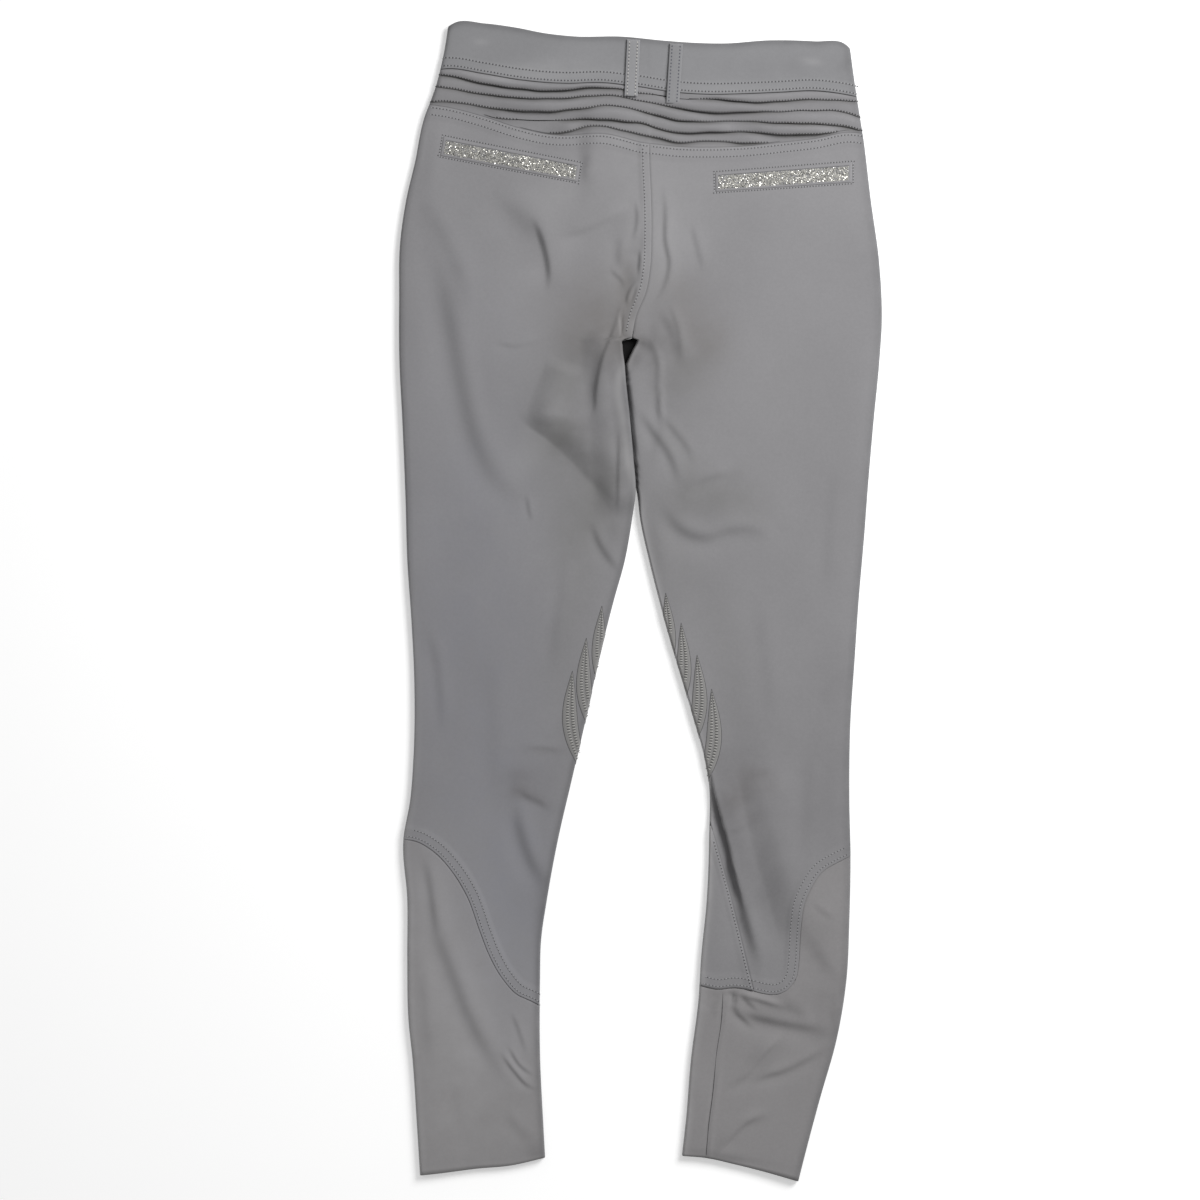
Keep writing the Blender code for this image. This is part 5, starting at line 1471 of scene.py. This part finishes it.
def offset_line(points, shift, start=0.0, end=1.0, count=160):
    """A seam moved to its left by shift, from one part of its length to another."""
    return np.stack(points_along(points, np.linspace(start, end, count), shift), -1)


def swapped(rows):
    """Rows of y, x as points."""
    return [(x, y) for y, x in rows]


def sew_band():
    sewing = Sewing("waistband_stitches", threads["grey"])
    bottom = cut_at(WAIST_SEAM, *side_to_side(waist_seam), 60)
    for up in BAND_ROWS:
        sewing.seam(offset_line(bottom, up, 0.004, 0.996, 400), band_surface, shadow_dot=BAND_SHADOW_DOT)
    for side, ends in (("left", (0.01, 0.49)), ("right", (0.51, 0.99))):
        for up in BAND_ROWS:
            line = offset_line(FRONT_WAIST_SEAM, up, *ends, 200)
            sewing.seam(line, partial(front_band_surface, side), down=True)
    sewing.finish()


def sew_tucks(lines):
    """Stitches along each fold, where it stands open."""
    sewing = Sewing("tuck_stitches", threads["tuck"])
    for line in lines:
        shown = line[:, 2] - back_height(line[:, 0], line[:, 1]) > TUCK_SHOWN
        path = line + np.array(TUCK_STITCH_SHIFT)
        for stretch in np.split(np.arange(len(path)), np.nonzero(np.diff(shown.astype(int)))[0] + 1):
            if len(stretch) > 4 and shown[stretch[0]]:
                centres, along = walk(path[stretch], TUCK_PITCH)
                normal = unit(np.cross(along, [0, 0, 1.0]) * TUCK_STITCH_LEAN + [0, 0, 1.0])
                normal = unit(normal - (normal * along).sum(-1, keepdims=True) * along)
                sewing.sew(centres, along, normal, TUCK_STITCH, TUCK_SHADOW_DOT, TUCK_PITCH)
    sewing.finish()


def sew_body():
    """The seams of the side that faces up."""
    sewing = Sewing("body_stitches", threads["grey"])
    on_left, on_right = partial(back_surface, "left"), partial(back_surface, "right")
    left_x, right_x = side_to_side(yoke_seam)
    seam = cut_at(YOKE_SEAM, left_x, right_x, 60)
    middle = (SEAT_TOP_X - left_x) / (right_x - left_x)
    for down in YOKE_ROWS:
        sewing.seam(offset_line(seam, -down, 0.003, middle, 220), on_left)
        sewing.seam(offset_line(seam, -down, middle, 0.997, 220), on_right)
    sewing.seam(offset_line(swapped(SEAT_SEAM), SEAT_ROW, 0.015, 0.97, 240), on_left)
    for up, *ends in zip(CALF_ROWS, (0.01, 0.03), (0.985, 0.97)):
        sewing.seam(offset_line(CALF_SEAM_LEFT, up, *ends), on_left, shadow_dot=CALF_SHADOW_DOT)
    parts = np.linspace(0.01, 0.985, 240)
    start = np.searchsorted(parts, length_parts(CALF_SEAM_RIGHT)[INSEAM_POINT])
    for up in CALF_ROWS:
        line = offset_line(CALF_SEAM_RIGHT, up, parts[0], parts[-1], len(parts))
        sewing.seam(line[:start], strip_surface, shadow_dot=CALF_SHADOW_DOT)
        sewing.seam(line[start:], on_right, shadow_dot=CALF_SHADOW_DOT)
    sewing.seam(offset_line(swapped(INSEAM_RIGHT[1:]), INSEAM_ROW, 0.0, 0.99), strip_surface)
    # The right cuff's inseam: a dark cord, painted shade in its groove.
    y = np.linspace(CUFF_INSEAM_FROM, CUFF_INSEAM_TO, 150)
    x = cuff_inseam(y)
    z = back_height_right(x, y) + calf_relief("right", x, y, False) + CUFF_INSEAM_LIFT
    cord(sewing, np.stack([x, y, z], -1), CUFF_CORD_SIZE)
    for side in SIDES:
        outline = ring_of(frame_places(side, POCKET_ROW, 60, 12))
        sewing.seam(np.concatenate([outline, outline[:1]]), partial(back_surface, side), size=POCKET_STITCH,
                    pitch=POCKET_PITCH)
    sewing.finish()


def sew_front():
    """The seams of the side that the breeches lie on."""
    sewing = Sewing("front_stitches", threads["grey"])
    for side in SIDES:
        for up in CALF_ROWS:
            sewing.seam(offset_line(FRONT_CALF_SEAM[side], up, 0.03, 0.97), FRONT_HEIGHT[side], down=True)
    sewing.seam(offset_line(swapped(FLY_SEAM[1:]), FLY_ROW, 0.02, 0.97, 200), front_height_left, down=True)
    y = np.linspace(FLY_ROW_TOP, FLY_ROW_LOW, 80)
    bend = np.sqrt(np.clip(1 - np.clip((FLY_BEND_TOP - y) / FLY_BEND, 0, 1) ** 2, 0, 1))
    sewing.seam(np.stack([fly_seam(y) + FLY_STITCH_WIDTH * bend, y], -1), front_height_right, down=True)
    sewing.finish()


def sew_loops():
    """Two rows down each loop, with light thread on one and dark thread on the other."""
    for side, thread, shadow_dot in (("left", "light", LOOP_SHADOW_DOT), ("right", "dark", None)):
        sewing = Sewing(f"belt_loop_{side}_stitches", threads[thread])
        for across in LOOP_ROWS:
            line = np.stack(loop_points(side, np.linspace(0.02, 0.985, 120), across), -1)
            centres, along = walk(line, PITCH)
            side_way = unit(np.cross(along, [0, 0, 1.0]))
            sewing.sew(centres, along, unit(np.cross(side_way, along)), LOOP_STITCH, shadow_dot)
        sewing.finish()


# ---------------------------------------------------------------- knee grips

# Leaves stitched on the inner knees run down over the leg's inner edge onto the front. Each is drawn from its
# tip: columns x, y on the left leg, and x is turned round on the right one.
LEAF_SPINE = [(0, 0), (-1, -12), (-2.2, -28), (-1.8, -46), (2, -64), (9, -81), (18, -95)]
LEAF_TIPS = {
    "left": [(-33.2, -3.4), (-46.6, -31.0), (-58.6, -59.4)],
    "right": [(21.6, 7.7), (34.9, -18.1), (48.6, -45.6), (61.1, -74.9)],
}
LEAF_STEPS, LEAF_ACROSS = 80, 15
LEAF_HALF, STEM_HALF = 5.9, 0.9
LEAF_LIFT, LEAF_PUFF = 0.1, 0.34
PRESSED = 0.3  # how much of their height the leaves keep on the front, which lies on the floor
EDGE_DEPTH = 2.0  # of the leg's side between its back and its front
RIM_CORD, RIM_CORD_LIFT = 1.04, 0.12  # place, as a part of the leaf's half width, and lift
BAR_COLUMNS = [(-0.4, 0.24), (0.34, 0.24)]  # middle and half width, as parts of the leaf's half width
BAR_PITCH, BAR_WIDTH, BAR_HEIGHT, BAR_LIFT, BAR_LEAST = 2.5, 0.5, 0.3, 0.46, 0.4
# Lift of the dark quad of painted shadow beside each bar.
BAR_SHADOW_LIFT = 0.08
CORD_SIZE, CUFF_CORD_SIZE = (0.15, 0.12), (0.2, 0.08)  # half width, height
TURN = {"left": 1, "right": -1}  # which way is in, from each leg


def leaf_half(part):
    """Half the width of a leaf from its tip, at 0, to its stem, at 1."""
    return LEAF_HALF * np.sin(np.pi * np.clip(part, 0, 1) ** 0.88) ** 1.15 + STEM_HALF * part


def on_leaf(side, tip, part, across):
    """x and y on a leaf: part of the way from the tip to the stem, and from -1 to 1 across."""
    turn = TURN[side]
    x, y = points_along(LEAF_SPINE, part)
    near_x, near_y = points_along(LEAF_SPINE, part, 1.0)
    half = leaf_half(part)
    return tip[0] + turn * (x + across * half * (x - near_x)), tip[1] + y + across * half * (y - near_y)


def around_leg(side, x, y, lift):
    """Lays flat points on a leg's back, over its inner edge and onto its front."""
    turn = TURN[side]
    edge = {"left": inner_left, "right": inner_right}[side](y)
    past = turn * (x - edge)
    on_back = past <= 0
    on_side = (past > 0) & (past <= EDGE_DEPTH)
    inward = np.where(on_back, x, np.where(on_side, edge, x - 2 * turn * past + turn * EDGE_DEPTH))
    z_back = BACK_HEIGHT[side](inward, y) + lift
    z_front = FRONT_HEIGHT[side](inward, y) - PRESSED * lift
    z = np.where(on_back, z_back, np.where(on_side, BACK_EDGE - past, z_front))
    outward = np.where(on_side, PRESSED * turn * lift, 0.0)
    return np.stack([inward + outward, y, z], -1)


def make_grips(side):
    """The leaves' padded cloth, and the stitching on it."""
    part = np.linspace(0, 1, LEAF_STEPS) ** 1.15
    across = np.linspace(-1, 1, LEAF_ACROSS)
    puff = LEAF_PUFF * (1 - np.abs(np.abs(across) * 2 - 1) ** 2.5)
    lift = LEAF_LIFT + puff * np.minimum(1, leaf_half(part) / 3)[:, None]
    points, faces = [], []
    count = LEAF_STEPS * LEAF_ACROSS
    sewing = Sewing(f"knee_grip_{side}_stitches", threads["grip"])
    for number, tip in enumerate(LEAF_TIPS[side]):

        def row(parts, at, height):
            return around_leg(side, *on_leaf(side, tip, parts, at), height)

        points.append(row(part[:, None], across, lift).reshape(-1, 3))
        faces.append(grid_faces(LEAF_STEPS, LEAF_ACROSS, number * count, turned=side == "right"))
        for at in (-RIM_CORD, RIM_CORD):
            cord(sewing, row(np.linspace(0, 1, 140), at, RIM_CORD_LIFT), CORD_SIZE)
        for middle, half in BAR_COLUMNS:
            bars = len(walk(row(np.linspace(0.02, 0.97, 260), middle, BAR_LIFT), BAR_PITCH)[0])
            low, high = [row(np.linspace(0.02, 0.96, bars), middle + at, BAR_LIFT) for at in (-half, half)]
            wide = np.linalg.norm(high - low, axis=1) > BAR_LEAST
            add_bars(sewing, low[wide], high[wide])
    points, faces = np.concatenate(points), np.concatenate(faces)
    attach(new_mesh(f"knee_grip_{side}", points, faces, cloths["grip_cloth"]), "root")
    sewing.finish()


def side_normal(points):
    """Away from the middle of the cloth's thickness."""
    return np.where(points[:, 2:] > (BACK_EDGE + FRONT_EDGE) / 2, [[0, 0, 1.0]], [[0, 0, -1.0]])


def cord(sewing, line, size):
    """A thin dark line in the painted-shadow material: the shade in the cuff's inseam groove, and the leaves'
    outlines.
    """
    along = unit(np.gradient(line, axis=0))
    normal = side_normal(line)
    across = unit(np.cross(normal, along))
    rings = np.stack([line - size[0] * across, line + size[1] * normal, line + size[0] * across], 1)
    quads = np.concatenate([rings[:-1], rings[1:]], 1)
    sewing.add(quads, [(0, 1, 4, 3), (1, 2, 5, 4)], 1)


def add_bars(sewing, low, high):
    """Short satin bars across a leaf, with a flat dark quad of painted shadow beside each."""
    centres = (low + high) / 2
    along = unit(high - low)
    normal = side_normal(centres)
    across = unit(np.cross(normal, along))
    reach = np.linalg.norm(high - low, axis=1)[:, None] / 2
    shape = [(-1, 0, 0), (-0.7, 1, 0), (-0.7, 0, 1), (-0.7, -1, 0)]
    shape += [(0.7, 1, 0), (0.7, 0, 1), (0.7, -1, 0), (1, 0, 0)]
    height = BAR_HEIGHT * np.where(normal[:, 2:] < 0, PRESSED, 1.0)
    points = np.stack([centres + a * reach * along + b * BAR_WIDTH * across + c * height * normal
                       for a, b, c in shape], 1)
    faces = [(1, 4, 5, 2), (2, 5, 6, 3), (0, 1, 2, 2), (0, 2, 3, 3), (7, 5, 4, 4), (7, 6, 5, 5)]
    sewing.add(points, faces, 0)
    shadow_corners = [(-0.8, -0.32), (0.8, -0.32), (0.8, 0.32), (-0.8, 0.32)]
    shift = BAR_PITCH / 2 * across
    shadow_dots = np.stack([centres + shift + a * reach * along + b * across + BAR_SHADOW_LIFT * normal
                      for a, b in shadow_corners], 1)
    sewing.add(shadow_dots, [(0, 1, 2, 3)], 1)


# ---------------------------------------------------------------- the stage

CAMERA_X, CAMERA_Y, CAMERA_Z = -0.0349, 0.0017, 2.588
LENS, SENSOR = 90, 36
KEY_PLACE, KEY_SIZE, KEY_POWER = (1.2, 0.95, 1.25), 1.1, 41
FILL = 0.365
FLOOR_TONE, FLOOR_GLOW, FLOOR_SIDE, FLOOR_DROP = 0.85, 0.35, 6.0, 0.4


def make_stage():
    corners = (-1, -1, 0), (1, -1, 0), (1, 1, 0), (-1, 1, 0)
    floor = new_mesh("floor", corners, [[0, 1, 2, 3]], floor_material())
    floor.scale = (FLOOR_SIDE / MM, FLOOR_SIDE / MM, 1)
    floor.location.z = -FLOOR_DROP * MM
    lamp = bpy.data.lights.new("key", "AREA")
    lamp.shape = "DISK"
    lamp.size = KEY_SIZE
    lamp.energy = KEY_POWER
    key = link(bpy.data.objects.new("key", lamp))
    key.location = KEY_PLACE
    key.rotation_euler = (-Vector(KEY_PLACE)).to_track_quat("-Z", "Y").to_euler()
    world = bpy.data.worlds.new("world")
    world.use_nodes = True
    sky = world.node_tree.nodes["Background"].inputs
    sky["Color"].default_value, sky["Strength"].default_value = (1, 1, 1, 1), FILL
    bpy.context.scene.world = world
    bpy.context.scene.view_settings.view_transform = "Standard"
    view = bpy.data.cameras.new("camera")
    view.lens = LENS
    view.sensor_width = SENSOR
    view.clip_start, view.clip_end = 0.05, 20
    camera = link(bpy.data.objects.new("camera", view))
    camera.location = (CAMERA_X, CAMERA_Y, CAMERA_Z)
    bpy.context.scene.camera = camera


def floor_material():
    return Shader("floor_look").finish(Base_Color=(FLOOR_TONE, FLOOR_TONE, FLOOR_TONE, 1), Roughness=0.9,
                                       Emission_Color=(1, 1, 1, 1), Emission_Strength=FLOOR_GLOW)


# ---------------------------------------------------------------- everything

# The pieces made for each side, in turn.
PAIRS = {
    "back": make_back,
    "cuff": make_cuff,
    "waistband_front": make_waistband_front,
    "belt_loop": make_belt_loop,
    "pocket_welt": make_pocket_frame,
    "pocket_glitter": make_glitter_strip,
}
yoke, fold_lines = make_yoke()
pieces = {"yoke_back": yoke, "waistband_back": make_waistband_back()}
for side in SIDES:
    pieces[f"front_{side}"] = make_front(side)
for side in SIDES:
    for kind, make in PAIRS.items():
        pieces[f"{kind}_{side}"] = make(side)
    make_flakes(side)
make_side_seams()
sew_band()
sew_tucks(fold_lines)
sew_body()
sew_front()
sew_loops()
for side in SIDES:
    make_grips(side)
make_stage()
